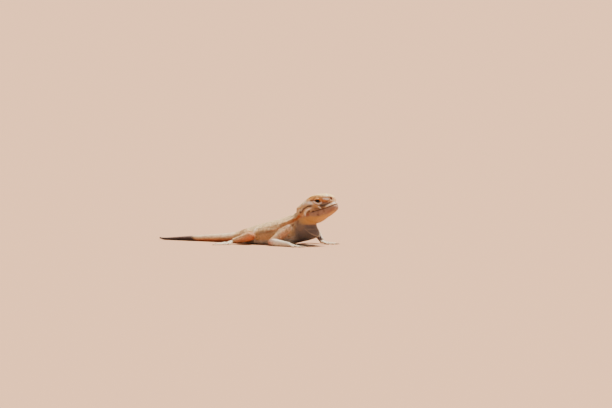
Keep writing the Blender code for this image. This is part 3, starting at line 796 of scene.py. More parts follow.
def markingsAndPaintedLight(places, normals, nodes):
    back, _, up = headPlaces(places)
    x, y, z = bodyPlaces(places)
    rise = normals[:, 2]
    fine = softNoise(places, 0.8, 21)
    broad = softNoise(places, 3.2, 22)

    colour = np.repeat(tones["cream"][None], len(places), 0)

    def lay(tone, share):
        # Lays a tone over the colours that are there.
        nonlocal colour
        colour = colour + (tones[tone] - colour) * np.clip(share, 0, 1)[:, None]

    def isAny(*words):
        return nodeIs(nodes, *words)

    # Trunk, and what goes for the whole body
    lay("sand", 0.55 * (1 - ramp(rise, 0.1, 0.75)) + 0.25 * (broad - 0.5))
    lay("paleCream", 0.7 * ramp(fine, 0.62, 0.8) * ramp(rise, 0.0, 0.5))
    bars = 0.5 + 0.5 * np.cos(2 * math.pi * (x + 1.6 * broad) / 8.5)
    lay("olive", 0.22 * bars ** 3 * ramp(rise, 0.2, 0.6))
    lay("speck", (0.38 + 0.15 * (1 - ramp(rise, 0.1, 0.6))) * net(places, 2.3, 31))
    lay("speck", 0.5 * ramp(softNoise(places, 1.3, 35), 0.72, 0.86))
    lay("belly", 1 - ramp(rise, -0.75, -0.25))

    # Chest patch
    chest = ramp(x, 47.0, 53.0) * (1 - ramp(z, 9.0, 14.0)) * (1 - ramp(rise, 0.0, 0.5)) * (x > 40)
    lay("chestEdge", 0.85 * chest)
    patch = gauss((x - 55.0) / 7.5, 1) * (1 - ramp(np.abs(y), 6.5, 10.5)) * (1 - ramp(z, 6.5, 9.5))
    lay("chest", 0.95 * patch)

    # Neck
    neck = isAny("neck")
    skull = isAny("head")
    # painted shade: the front of the chest under the head is darkened with the chest's brown-grey tones
    front = ramp(x, 50.0, 54.0) * (1 - ramp(rise, 0.35, 0.8)) * (1 - ramp(z, 14.5, 17.0)) * ~skull
    lay("chestEdge", 0.95 * front * (1 - patch))
    lay("chest", 0.6 * front * (1 - patch))

    # Head
    head = (1 - ramp(back, 25.0, 29.0)) * (skull + neck * ramp(z, 14.2, 16.6))
    crown = ramp(rise, 0.35, 0.7)
    onTop = ramp(up - np.interp(back, *crownLine), -0.8, 0.5)
    lay("headSide", head)
    lay("crown", head * np.maximum(crown, onTop) * ramp(up, 2.0, 4.0))
    lay("speck", 0.28 * head * ramp(fine, 0.66, 0.82) * ramp(up, 3.0, 6.0))
    lay("white", 0.6 * head * onTop * ramp(softNoise(places, 1.9, 52), 0.6, 0.8))
    jaw = 1 - ramp(up - mouthUp(back), -0.5, 0.3)
    lay("jaw", head * jaw)
    # painted warm bounce light: the pale throat and the neck under the head are laid ochre
    throatLine = np.interp(back, *throatEdge)
    throat = 1 - ramp(up - throatLine + 1.6 * (broad - 0.5), -1.3, 1.1)
    underHead = 0.8 * neck * ramp(z, 15.0, 17.0) * (1 - ramp(z, 20, 24))
    lay("throat", np.maximum(head, underHead) * throat)
    for strokes, onPlace, share in ((headStrokes, onHead, head), (bodyStrokes, onBody, 1.0)):
        for tone, width, strength, line in strokes:
            for path in bothSides(line, onPlace):
                gap, along = distanceTo(places, path)
                rough = gap * (0.84 + 0.32 * fine)
                ends = np.clip(np.minimum(along, 1 - along) * 6 + 0.35, 0, 1)
                lay(tone, strength * share * ends * gauss(rough, width))
    corner = bodyPlan["mouthCorner"]
    lips = gauss(up - mouthUp(back), 0.4) * (1 - ramp(back, corner - 0.7, corner + 0.7)) * head
    lay("mouth", 0.95 * lips)
    for side, _ in sides:
        gap = farFrom(places, nostrilAt[side])
        lay("nostrilRim", 0.95 * gauss(gap, 1.5))
        lay("nostril", gauss(gap, 0.62) * 1.3)
        gap, _ = distanceTo(places, lidLines[side]["lower"])
        lay("lidLine", gauss(gap, 0.5))
        # painted shade: a dark line in the crease running back and up from the eye's back corner
        gap, _ = distanceTo(places, lidLines[side]["crease"])
        lay("lidDark", gauss(gap, 0.5))
        gap, _ = distanceTo(places, lidLines[side]["under"])
        lay("lidDark", 0.8 * gauss(gap, 0.3))
        inner = farFrom(places, eyeMiddle[side])
        lay("lidDark", 0.9 * (1 - ramp(inner, 3.25, 3.5)))

    # Limbs
    netted = net(places, 1.9, 41, 0.07)
    upper = isAny("upper", "thigh")
    lower = isAny("forearm", "shank")
    last = isAny("hand", "foot")
    limb = upper | lower | last
    lay("limb", 0.85 * limb * (1 - 0.6 * ramp(rise, 0.2, 0.8)))
    lay("limbNet", 0.42 * netted * (upper | isAny("shank")) * (1 - 0.5 * ramp(rise, 0.3, 0.9)))
    # the red-brown on the undersides of the thighs and shanks, and round the knees, is partly its own colour
    # and partly painted warm bounce light and shade
    inner = limb * (1 - ramp(rise, -0.5, 0.35))
    lay("thighUnderAndBounce", 0.75 * inner * isAny("thigh", "shank"))
    red = isAny("upper") * (1 - ramp(rise, 0.1, 0.55)) * (1 - ramp(z, 8.5, 12.0))
    lay("armRed", 0.55 * red * ramp(softNoise(places, 1.5, 51), 0.25, 0.6))
    # painted light: the forearms are laid near white, lighter than the rest of the limb
    lay("forearm", 0.95 * isAny("forearm"))
    # painted shade: the inner side of each forearm, turned to the body, is darkened
    inside = isAny("forearm") * ramp(-normals[:, 1] * np.sign(y), -0.15, 0.4) * ramp(z, 0.9, 2.0)
    lay("armInsidePaintedShade", inside * (1 - 0.35 * ramp(fine, 0.55, 0.75)))
    lay("limbNet", 0.2 * netted * isAny("forearm") * (1 - ramp(rise, 0.0, 0.6)))
    for bend, tone, reach in bendTones:
        gap = farFrom(places, onBody(*bend))
        lay(tone, 0.8 * gauss(gap, reach) * limb)
    lay("toe", 0.9 * last)

    # Tail
    tail = ramp(-x, 0.0, 5.0) * isAny("tail")
    lay("tailTop", 0.7 * tail * ramp(rise, -0.1, 0.5))
    # the orange on the tail's sides and underside is partly its own colour and partly painted warm bounce
    # light and shade
    lay("tailUnderAndBounce", 0.95 * tail * (1 - ramp(rise, -0.6, 0.2)))
    rings = (0.5 + 0.5 * np.cos(2 * math.pi * x / 7.2)) ** 4
    lay("tailBar", 0.3 * tail * rings * ramp(rise, -0.2, 0.3))
    end = ramp(-x - 1.6 * rise + 1.6 * (fine - 0.5) + 0.8 * (broad - 0.5), 34.6, 39.2)
    lay("tailEnd", 0.97 * end)
    lay("tailEndTop", 0.85 * end * ramp(rise, 0.1, 0.75) * (0.75 + 0.5 * (fine - 0.5)))
    return np.clip(colour, 0.0, 1.0)


lidLines = {}
for side, _ in sides:
    lower = [lidPoint(side, angle, fleshPlan["lidRadius"] + 0.3, 1.34)
             for angle in np.linspace(-2.8, -0.35, 9)]
    under = [onHead(back, side * out, up) for back, out, up in
             ((12.9, 9.3, 4.9), (11.3, 9.5, 3.0), (9.6, 8.6, 1.9), (8.4, 7.9, 1.8))]
    backCorner = lidPoint(side, math.pi, fleshPlan["lidRadius"] + 0.2, 1.1)
    lidLines[side] = {"lower": lower, "under": under,
                      "crease": [backCorner, onHead(13.2, side * 9.0, 6.5), onHead(14.7, side * 8.4, 7.0)]}
nostrilAt = {}
for side, _ in sides:
    aim = onHead(nostril["back"] - 0.1, side * (nostril["out"] + 0.2), nostril["up"])
    nostrilAt[side] = skinTree.find_nearest(aim)[0]


def paint(item, colours):
    layer = item.data.color_attributes.new("markingsAndPaintedLight", "FLOAT_COLOR", "POINT")
    values = np.ones((len(colours), 4), np.float32)
    values[:, :3] = colours
    layer.data.foreach_set("color", values.ravel())


paintedGapShade = 0.82         # painted shade: the skin in the gaps between the scales is laid darker than they are
skinNodes = nodesAt(skinPoints)
paint(skin, markingsAndPaintedLight(skinPoints, skinNormals, skinNodes) * paintedGapShade)
print("  skin painted")


# One small shape of each kind, modelled once: the coat is made of its copies

def modelScale(kind):
    # A six-sided plate, its rim bevelled by an inset and its middle raised to a keel.
    deselectAll()
    bpy.ops.mesh.primitive_cylinder_add(vertices=6, radius=0.5, depth=kind["depth"], end_fill_type="NGON",
                                        location=(0, 0, -kind["depth"] / 2))
    item = bpy.context.object
    bpy.ops.object.mode_set(mode="EDIT")
    pick(item, lambda face: face.normal.z > 0.9, "FACE")
    if kind["rim"]:
        bpy.ops.mesh.inset(thickness=kind["rim"], depth=kind["dome"])
    bpy.ops.mesh.poke(offset=kind["keel"])
    pick(item, lambda vert: vert.co.y > 0.45)
    bpy.ops.transform.translate(value=(0, kind["point"], 0.02))
    pick(item, lambda vert: vert.co.y > 0.1 and vert.co.z > -0.01)
    bpy.ops.transform.translate(value=(0, 0.03, kind["lift"]))
    pick(item, lambda vert: vert.co.z > 0.0 and abs(vert.co.x) < 0.02 and abs(vert.co.y) < 0.1)
    bpy.ops.transform.translate(value=(0, kind["keelBack"], 0))
    pick(item, lambda vert: vert.co.z < -0.1)
    bpy.ops.transform.resize(value=(0.82, 0.82, 1.0), center_override=(0, 0, 0))
    bpy.ops.object.mode_set(mode="OBJECT")
    return takenShape(item)


def modelSpike():
    # A pointed scale: a five-sided cone, drawn in above its root and bent back at its tip.
    deselectAll()
    bpy.ops.mesh.primitive_cone_add(vertices=5, radius1=0.5, radius2=0.07, depth=0.8, end_fill_type="NGON",
                                    location=(0, 0, 0.4))
    item = bpy.context.object
    bpy.ops.object.mode_set(mode="EDIT")
    pick(item, lambda face: face.normal.z > 0.9, "FACE")
    bpy.ops.mesh.extrude_region_move(TRANSFORM_OT_translate={"value": (0, 0.06, 0.2)})
    bpy.ops.transform.resize(value=(0.3, 0.3, 1.0), center_override=(0, 0.06, 1.0))
    pick(item, lambda face: face.normal.z < -0.9, "FACE")
    bpy.ops.mesh.extrude_region_move(TRANSFORM_OT_translate={"value": (0, 0, -0.35)})
    bpy.ops.object.mode_set(mode="OBJECT")
    return takenShape(item)


clawSteps = ((0.3, 0.03, 0.97), (0.35, 0.02, 0.9), (0.4, -0.02, 0.86), (0.4, -0.08, 0.78),
             (0.35, -0.14, 0.68), (0.3, -0.18, 0.5), (0.2, -0.14, 0.35))     # ahead, up, share of width


def modelClaw():
    # A claw drawn out of a round root in steps that narrow and turn down.
    deselectAll()
    bpy.ops.mesh.primitive_circle_add(vertices=10, radius=0.5, fill_type="NGON",
                                      rotation=(math.pi / 2, 0, 0))
    item = bpy.context.object
    item.data.transform(item.matrix_world)
    item.matrix_world = Matrix.Identity(4)
    bpy.ops.object.mode_set(mode="EDIT")
    bpy.ops.mesh.select_all(action="SELECT")
    y, z = 0.0, 0.0
    for step, drop, narrow in clawSteps:
        y += step
        z += drop
        bpy.ops.mesh.extrude_region_move(TRANSFORM_OT_translate={"value": (0, step, drop)})
        bpy.ops.transform.resize(value=(narrow, 1.0, narrow), center_override=(0, y, z))
    bpy.ops.mesh.select_all(action="SELECT")
    bpy.ops.mesh.normals_make_consistent(inside=False)
    bpy.ops.object.mode_set(mode="OBJECT")
    return takenShape(item)


def modelBead():
    # A low round scale: a small ball with its lower half sunk in the skin.
    deselectAll()
    bpy.ops.mesh.primitive_uv_sphere_add(segments=6, ring_count=4, radius=0.5, location=(0, 0, 0.35))
    item = bpy.context.object
    item.data.transform(item.matrix_world)
    item.matrix_world = Matrix.Identity(4)
    return takenShape(item)


shapes = {
    "keeled": modelScale({"depth": 0.32, "rim": 0.13, "dome": 0.07, "keel": 0.1, "keelBack": 0.12,
                          "point": 0.14, "lift": 0.06}),
    "knob": modelScale({"depth": 0.3, "rim": 0.12, "dome": 0.12, "keel": 0.07, "keelBack": 0.02,
                        "point": 0.02, "lift": 0.02}),
    "smooth": modelScale({"depth": 0.3, "rim": 0.0, "dome": 0.0, "keel": 0.11, "keelBack": 0.1,
                          "point": 0.12, "lift": 0.05}),
    "bead": modelBead(),
    "spike": modelSpike(),
}
clawShape = modelClaw()


# The skin laid out flat, so that each scale has a small patch at its own place on it

layoutPlan = {"triangles": 9000, "angle": 66, "margin": 0.004}
patchWidth = 0.003


def unwrapSkin():
    deselectAll()
    item = bpy.data.objects.new("layout", skin.data.copy())
    bpy.context.scene.collection.objects.link(item)
    thin = item.modifiers.new("thin", "DECIMATE")
    thin.ratio = layoutPlan["triangles"] / len(skinTriangles)
    applyAll(item)
    item.modifiers.new("triangles", "TRIANGULATE")
    applyAll(item)
    makeActive(item)
    bpy.ops.object.mode_set(mode="EDIT")
    bpy.ops.mesh.select_all(action="SELECT")
    bpy.ops.uv.smart_project(angle_limit=math.radians(layoutPlan["angle"]),
                             island_margin=layoutPlan["margin"])
    bpy.ops.object.mode_set(mode="OBJECT")
    places, triangles = meshArrays(item.data)
    corners = readValues(item.data.uv_layers.active.data, "uv", 2)
    flat = corners[readValues(item.data.loop_triangles, "loops", 3, np.int32)]
    bpy.data.objects.remove(item, do_unlink=True)
    return places, triangles, flat.astype(float), treeOf(places, triangles)


layoutPoints, layoutTriangles, layoutFlat, layoutTree = unwrapSkin()


def flatPlaces(roots):
    # Where each root lies on the flat layout, from its place in its triangle.
    hits = [layoutTree.find_nearest(Vector(root)) for root in roots]
    index = np.array([hit[2] for hit in hits])
    near = np.array([list(hit[0]) for hit in hits])
    a, b, c = (layoutPoints[layoutTriangles[index, k]] for k in range(3))
    ab, ac, ap = b - a, c - a, near - a
    d00, d01, d11 = (ab * ab).sum(1), (ab * ac).sum(1), (ac * ac).sum(1)
    d20, d21 = (ap * ab).sum(1), (ap * ac).sum(1)
    whole = np.maximum(d00 * d11 - d01 * d01, 1e-12)
    v = np.clip((d11 * d20 - d01 * d21) / whole, 0, 1)
    w = np.clip((d00 * d21 - d01 * d20) / whole, 0, 1)
    u = np.clip(1 - v - w, 0, 1)
    corner = layoutFlat[index]
    return corner[:, 0] * u[:, None] + corner[:, 1] * v[:, None] + corner[:, 2] * w[:, None]


coatPieces = []


def placeCopies(name, shape, roots, across, lie, rise, sizes, colours, shading):
    # Copies of a small shape at their roots, each with its own turn, size and colour, joined.
    shapePoints, shapeTriangles = shape
    local = shapePoints[None] * sizes[:, None, :]
    places = (roots[:, None, :] + local[:, :, :1] * across[:, None, :] + local[:, :, 1:2] * lie[:, None, :]
              + local[:, :, 2:3] * rise[:, None, :])
    count, corners = places.shape[:2]
    places = np.clip(places.reshape(-1, 3), boxLow, boxHigh)
    triangles = (shapeTriangles[None] + (np.arange(count) * corners)[:, None, None]).reshape(-1, 3)
    item = meshFrom(name, places, triangles)
    # painted shade and light: each copy is darker at its base and lighter at its top
    height = np.clip((shapePoints[:, 2] - shapePoints[:, 2].min()) / np.ptp(shapePoints[:, 2]), 0, 1)
    low, high = shading
    tint = low + (high - low) * height
    paint(item, np.clip((colours[:, None, :] * tint[None, :, None]).reshape(-1, 3), 0, 1))
    layer = item.data.uv_layers.new(name="OFBake")
    spread = 1 + 0.25 * (shapePoints[:, 2] < -0.1)
    flat = shapePoints[:, :2] * spread[:, None]
    flat = flat / (np.abs(flat).max() * 2) * patchWidth * 0.92
    patches = (flatPlaces(roots)[:, None, :] + flat[None]).reshape(-1, 2)
    corner = readValues(item.data.loops, "vertex_index", 1, np.int32)[:, 0]
    layer.data.foreach_set("uv", patches[corner].astype(np.float32).ravel())
    coatPieces.append(item)
    return item


# Where the scales grow and how large they are

scalePlan = {
    "back": 0.56, "belly": 0.7, "flank": 0.52, "face": 0.54, "crownMore": 0.3, "throat": 0.56, "neck": 0.52,
    "tail": ((0, 20, 45, 62), (0.56, 0.54, 0.46, 0.38)),
    "limbs": ((("upper", "thigh"), 0.55), (("forearm", "shank"), 0.5), (("hand", "foot"), 0.4)),
    "byEye": 0.34,
}


def scaleSizes(places, normals, nodes):
    back, _, up = headPlaces(places)
    x, _, _ = bodyPlaces(places)
    rise = normals[:, 2]
    size = np.full(len(places), scalePlan["back"])
    size = np.where(rise < -0.35, scalePlan["belly"], size)
    size = np.where((rise > -0.35) & (rise < 0.3), scalePlan["flank"], size)
    onTop = ramp(up - np.interp(back, *crownLine), -1.2, 0.4)
    headSize = scalePlan["face"] + scalePlan["crownMore"] * onTop * (0.4 + 0.6 * ramp(back, 1.0, 7.0))
    headSize = np.where(up < mouthUp(back) - 4.0, scalePlan["throat"], headSize)
    size = np.where(nodeIs(nodes, "head"), headSize, size)
    size = np.where(nodeIs(nodes, "neck"), scalePlan["neck"], size)
    size = np.where(nodeIs(nodes, "tail"), np.interp(-x, *scalePlan["tail"]), size)
    for words, wide in scalePlan["limbs"]:
        size = np.where(nodeIs(nodes, *words), wide, size)
    for side, _ in sides:
        inner = farFrom(places, eyeMiddle[side])
        size = np.minimum(size, scalePlan["byEye"] + 0.3 * ramp(inner, 3.9, 6.2))
    return size


lipPlan = {
    "levels": (0.5, -0.5), "spacing": 0.86, "size": (0.66, 0.9, 0.5),
    "snout": 5.0, "snoutShare": 0.4,      # the front of the row turns round a point this far back
    "samples": 241,
}


def lipRow(level):
    # Evenly spaced places along a lip, from one mouth corner round the snout to the other.
    line = []
    snout, share = lipPlan["snout"], lipPlan["snoutShare"]
    reach = bodyPlan["mouthCorner"] - 0.4
    for t in np.linspace(-1, 1, lipPlan["samples"]):
        if abs(t) > share:
            back = snout + (abs(t) - share) / (1 - share) * (reach - snout)
            direction = (0.0, math.copysign(1.0, t))
        else:
            angle = t / share * math.pi / 2
            back = snout
            direction = (-math.cos(angle), math.sin(angle))
        start = onHead(back, 0.0, mouthUp(back) + level)
        way = headTurn @ Vector((-direction[0], direction[1], 0.0))
        far = start + way * 30
        hit = skinTree.ray_cast(far, -way)[0]
        line.append(hit if hit is not None else start)
    line = np.array([list(p) for p in line])
    steps = stepsOf(line)
    count = int(steps[-1] / lipPlan["spacing"])
    wanted = (np.arange(count) + 0.5) * steps[-1] / count
    ahead = placesAt(wanted + 0.2, steps, line) - placesAt(wanted - 0.2, steps, line)
    return placesAt(wanted, steps, line), ahead / np.linalg.norm(ahead, axis=1)[:, None]


def onSkin(places):
    hits = [skinTree.find_nearest(Vector(place)) for place in places]
    return np.array([list(hit[0]) for hit in hits]), np.array([hit[2] for hit in hits])


def softNormals(places, faces):
    # The skin's smooth normal at places on its triangles.
    corner = skinTriangles[faces]
    away = np.linalg.norm(skinPoints[corner] - places[:, None, :], axis=2)
    share = 1 / (away + 0.02)
    normal = (skinNormals[corner] * share[:, :, None]).sum(1)
    return normal / np.linalg.norm(normal, axis=1)[:, None]


scatterPlan = {
    "packing": 0.866, "tries": 5,       # places tried for each that fits
    "apart": 0.8,                       # least distance, in scale sizes
    "rounds": 4, "room": 1.02, "push": 0.22,
}


def scatter():
    # Random places over the skin, thinned until they lie a scale apart, then evened out.
    a, b, c = (skinPoints[skinTriangles[:, k]] for k in range(3))
    middle = (a + b + c) / 3
    normal = skinNormals[skinTriangles].mean(1)
    area = np.linalg.norm(np.cross(b - a, c - a), axis=1) / 2
    size = scaleSizes(middle, normal, skinNodes[skinTriangles[:, 0]])
    weight = area / size ** 2
    expected = weight.sum() / scatterPlan["packing"]
    picks = random.choice(len(area), int(expected * scatterPlan["tries"]), p=weight / weight.sum())
    u, v = random.random(len(picks)), random.random(len(picks))
    over = u + v > 1
    u[over], v[over] = 1 - u[over], 1 - v[over]
    places = a[picks] + (b - a)[picks] * u[:, None] + (c - a)[picks] * v[:, None]
    normals = normal[picks] / np.linalg.norm(normal[picks], axis=1)[:, None]
    size = size[picks]
    covered = growsScales(places)
    places, normals, size = places[covered], normals[covered], size[covered]
    tree = nearTree(places)
    free = np.ones(len(places), bool)
    kept = []
    for i in range(len(places)):
        if not free[i]:
            continue
        kept.append(i)
        near = [j for _, j, _ in tree.find_range(places[i], size[i] * scatterPlan["apart"]) if j > i]
        if near:
            near = np.array(near)
            free[near[(normals[near] @ normals[i]) > 0.0]] = False
    places, size = places[kept], size[kept]
    for _ in range(scatterPlan["rounds"]):
        tree = nearTree(places)
        near = np.array([[j for _, j, _ in tree.find_n(place, 7)][1:] for place in places])
        arm = places[:, None, :] - places[near]
        gap = np.linalg.norm(arm, axis=2)
        push = np.maximum(0, size[:, None] * scatterPlan["room"] - gap) / np.maximum(gap, 0.05)
        places, faces = onSkin(places + scatterPlan["push"] * (arm * push[:, :, None]).sum(1))
    keep = growsScales(places)
    places, faces, size = places[keep], faces[keep], size[keep]
    return places, softNormals(places, faces), size, skinNodes[skinTriangles[faces, 0]]


lipRows = {level: lipRow(level) for level in lipPlan["levels"]}
lipPlaces = np.concatenate([row for row, _ in lipRows.values()])


def growsScales(places):
    # Bare are the slit of the mouth, the insides of the lids and nostrils, and where lip scales are.
    back, _, up = headPlaces(places)
    bare = (np.abs(up - mouthUp(back)) < 0.25) & (back < bodyPlan["mouthCorner"] + 0.3) & (back > -1)
    for side, _ in sides:
        bare |= farFrom(places, eyeMiddle[side]) < 3.5
        bare |= farFrom(places, nostrilAt[side]) < 0.95
    onLips = (np.abs(up - mouthUp(back)) < 2.2) & (back < 19) & (back > -1)
    index = np.nonzero(onLips)[0]
    if len(index):
        gaps = np.linalg.norm(places[index][:, None, :] - lipPlaces[None], axis=2).min(1)
        bare[index] |= gaps < 0.5
    return ~bare


roots, rootNormals, rootSizes, rootNodes = scatter()
print("  scales placed", len(roots))

limbRuns = {    # from where to where each length of a limb runs, on the body
    "upper_arm_right": ((47.0, -7.5, 14.0), (36.7, -20.4, 2.5)),
    "forearm_right": ((36.7, -20.4, 2.5), (53.5, -24.0, 1.7)),
    "upper_arm_left": ((46.5, 6.5, 14.5), (48.2, 23.6, 9.6)),
    "forearm_left": ((48.2, 23.6, 9.6), (60.1, 13.3, 1.9)),
    "thigh_right": ((6.8, -4.6, 5.5), (18.4, -17.6, 6.2)),
    "shank_right": ((18.4, -17.6, 6.2), (3.2, -17.2, 2.0)),
    "thigh_left": ((6.8, 4.6, 5.5), (17.6, 18.2, 6.0)),
    "shank_left": ((17.6, 18.2, 6.0), (2.6, 17.8, 2.0)),
}


def lieOf(places, normals, nodes):
    # Scales point backward on the body and head, and outward along the limbs.
    lie = np.repeat(np.array([[-1.0, 0.0, -0.18]]), len(places), 0)
    backward = np.array(headTurn @ Vector((-1.0, 0, -0.12)))
    lie[nodeIs(nodes, "head")] = backward
    for name, (start, end) in limbRuns.items():
        lie[nodeIs(nodes, name)] = np.array((Vector(end) - Vector(start)).normalized())
    for name, plan in limbPlan.items():
        lie[nodeIs(nodes, name)] = (*wayOf(plan), -0.1)
    tree = nearTree(places)
    near = np.array([[j for _, j, _ in tree.find_n(place, 7)] for place in places])
    for _ in range(4):
        lie = lie[near].mean(1)
        lie /= np.maximum(np.linalg.norm(lie, axis=1), 1e-6)[:, None]
    lie -= normals * (lie * normals).sum(1)[:, None]
    length = np.linalg.norm(lie, axis=1)
    weak = length < 0.08
    lie[weak] = np.cross(normals[weak], (0, 1, 0))
    return lie / np.maximum(np.linalg.norm(lie, axis=1), 1e-6)[:, None]


def framed(normals, lie, tilt):
    # The three directions of a scale, its free edge raised by the tilt.
    across = np.cross(lie, normals)
    across /= np.linalg.norm(across, axis=1)[:, None]
    cos, sin = np.cos(tilt)[:, None], np.sin(tilt)[:, None]
    return across, lie * cos + normals * sin, normals * cos - lie * sin


def coatPlan():
    # Each row: piece name, which roots, shape, length, width, height, tilt in degrees, slot.
    x, y, _ = bodyPlaces(roots)
    back, _, up = headPlaces(roots)
    rise = rootNormals[:, 2]
    head, neck, torso = nodeIs(rootNodes, "head"), nodeIs(rootNodes, "neck"), nodeIs(rootNodes, "torso")
    tail = nodeIs(rootNodes, "tail")
    top = ramp(up - np.interp(back, *crownLine), -1.2, 0.4) > 0.5
    low = rise < -0.35
    rows = [
        ("scales_crown", head & top, "knob", 1.06, 1.06, 0.62, 5, "head_skin"),
        ("scales_face", head & ~top & (up > mouthUp(back)), "knob", 1.12, 1.0, 0.5, 9, "head_skin"),
        ("scales_jaw", head & ~top & (up <= mouthUp(back)), "smooth", 1.25, 1.05, 0.55, 9, "head_skin"),
        ("scales_neck", neck, "keeled", 1.25, 1.0, 0.55, 13, "head_skin"),
        ("scales_belly", torso & low, "smooth", 1.3, 1.06, 0.4, 7, "back_skin"),
    ]
    for side, word in sides:
        here = torso & ~low & (np.sign(y + 1e-9) == side)
        high = rise > 0.3
        rows.append((f"scales_back_{word}", here & high, "keeled", 1.25, 1.0, 0.55, 12, "back_skin"))
        rows.append((f"scales_flank_{word}", here & ~high, "smooth", 1.25, 1.0, 0.55, 11, "back_skin"))
    dark = x <= -37
    rows.append(("scales_tail", tail & ~dark, "keeled", 1.4, 1.0, 0.5, 10, "back_skin"))
    rows.append(("scales_tail_end", tail & dark, "keeled", 1.4, 1.0, 0.5, 10, "tail_end_skin"))
    for kind in ("upper_arm", "forearm", "thigh", "shank", "hand", "foot"):
        for _, word in sides:
            shape = "smooth" if kind in ("hand", "foot") else "keeled"
            chosen = nodeIs(rootNodes, f"{kind}_{word}")
            rows.append((f"scales_{kind}_{word}", chosen, shape, 1.32, 1.0, 0.5, 11, "limb_skin"))
    return rows


growth = {
    "twist": 0.12, "tone": 0.07, "warmth": 0.02, "size": 0.09, "tilt": 2.0,     # spreads
    "large": 0.045, "largeBy": 1.25,     # share of the keeled scales that stand out, and by how much
    "sunk": 0.02, "shading": (0.74, 1.05),
}


def growCoat():
    lie = lieOf(roots, rootNormals, rootNodes)
    twist = random.normal(0, growth["twist"], len(roots))[:, None]
    lie = lie + np.cross(rootNormals, lie) * twist
    lie /= np.linalg.norm(lie, axis=1)[:, None]
    colours = markingsAndPaintedLight(roots, rootNormals, rootNodes)
    tone = np.clip(random.normal(1.0, growth["tone"], len(roots)), 0.8, 1.22)
    warmth = random.normal(0.0, growth["warmth"], len(roots))
    colours = colours * tone[:, None] * np.stack((1 + warmth, np.ones(len(roots)), 1 - warmth), 1)
    grown = np.clip(random.normal(1.0, growth["size"], len(roots)), 0.8, 1.3)
    large = random.random(len(roots)) < growth["large"]
    for name, chosen, shape, length, width, height, tilt, slot in coatPlan():
        index = np.nonzero(chosen)[0]
        if not len(index):
            continue
        boost = np.where(large[index] & (shape == "keeled"), growth["largeBy"], 1.0)
        size = rootSizes[index] * grown[index]
        angle = np.radians(tilt + random.normal(0, growth["tilt"], len(index)))
        across, along, outward = framed(rootNormals[index], lie[index], angle)
        sizes = np.stack((size * width * boost, size * length * boost, size * height * boost * boost), 1)
        sunk = roots[index] - rootNormals[index] * (growth["sunk"] * size)[:, None]
        piece = placeCopies(name, shapes[shape], sunk, across, along, outward, sizes, colours[index],
                            growth["shading"])
        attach(piece, "root")
        print("  ", name, len(index), len(piece.data.polygons))


growCoat()


def lipScales():
    # One row of plates above the mouth and one below it.
    for level, (row, ahead) in lipRows.items():
        places, faces = onSkin(row)
        normals = softNormals(places, faces)
        ahead = ahead - normals * (ahead * normals).sum(1)[:, None]
        ahead /= np.linalg.norm(ahead, axis=1)[:, None]
        above = np.cross(normals, ahead)
        sizes = np.array([lipPlan["size"]]) * random.normal(1.0, 0.06, (len(places), 1))
        colours = markingsAndPaintedLight(places, normals, nodesAt(places)) * random.normal(1.0, 0.05, len(places))[:, None]
        word = "upper" if level > 0 else "lower"
        piece = placeCopies(f"lip_scales_{word}", shapes["knob"], places, above, ahead, normals, sizes,
                            colours, (0.75, 1.05))
        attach(piece, "root")


lipScales()


# Spines: each has a place, a way to point, a length and a width

def growSpines(name, spines, flat=0.7, brighten=1.0, tone=None, kind="spike"):
    places, ways, lengths, widths = zip(*spines)
    places = np.array([list(p) for p in places])
    ways = np.array([list(w) for w in ways])
    ways /= np.linalg.norm(ways, axis=1)[:, None]
    across = np.cross(ways, (0.1, 0.2, 1.0))
    across /= np.linalg.norm(across, axis=1)[:, None]
    up = np.cross(across, ways)
    sizes = np.stack((np.array(widths), np.array(widths) * flat, np.array(lengths)), 1)
    hits, faces = onSkin(places)
    colours = markingsAndPaintedLight(hits, softNormals(hits, faces), nodesAt(hits)) * brighten
    if tone is not None:
        colours = colours * 0.35 + tones[tone] * 0.65
    colours = colours * random.normal(1.0, 0.06, len(places))[:, None]
    piece = placeCopies(name, shapes[kind], places, across, -up, ways, sizes, colours, (0.8, 1.1))
    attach(piece, "root")
    return piece


spinePlan = {    # back, out, up on the right side, mirrored to the left
    "templeRows": (
        {"line": ((18.6, -8.8, 6.2), (20.6, -8.8, 5.8), (22.6, -8.6, 4.9), (24.4, -8.2, 4.0)),
         "count": 10, "length": 0.8},
        {"line": ((21.6, -9.3, 4.9), (23.2, -9.2, 3.6), (24.2, -9.2, 2.0), (24.4, -9.2, 0.2)),
         "count": 9, "length": 0.75},
        {"line": ((25.2, -7.8, 4.9), (26.8, -7.6, 3.9), (27.9, -7.7, 2.6), (28.2, -7.9, 1.2)),
         "count": 8, "length": 0.75},
        {"line": ((19.4, -8.0, 7.6), (21.6, -7.8, 7.0), (23.8, -7.4, 6.2)), "count": 7, "length": 0.6},
    ),
    "templeWidth": 0.74,
    "flapCentre": (17.2, -9.4, -2.6), "flapRadius": 4.55, "flapTurn": (114.0, 2.0),
    "flapRows": ({"out": 0.0, "count": 24, "length": 0.8, "width": 0.52},
                 {"out": -0.55, "count": 21, "length": 0.6, "width": 0.5}),
}


def alongLine(line, count):
    # Evenly spaced places along a short list of points.
    line = np.array([list(p) for p in line], float)
    steps = stepsOf(line)
    return placesAt(np.linspace(0, steps[-1], count), steps, line)


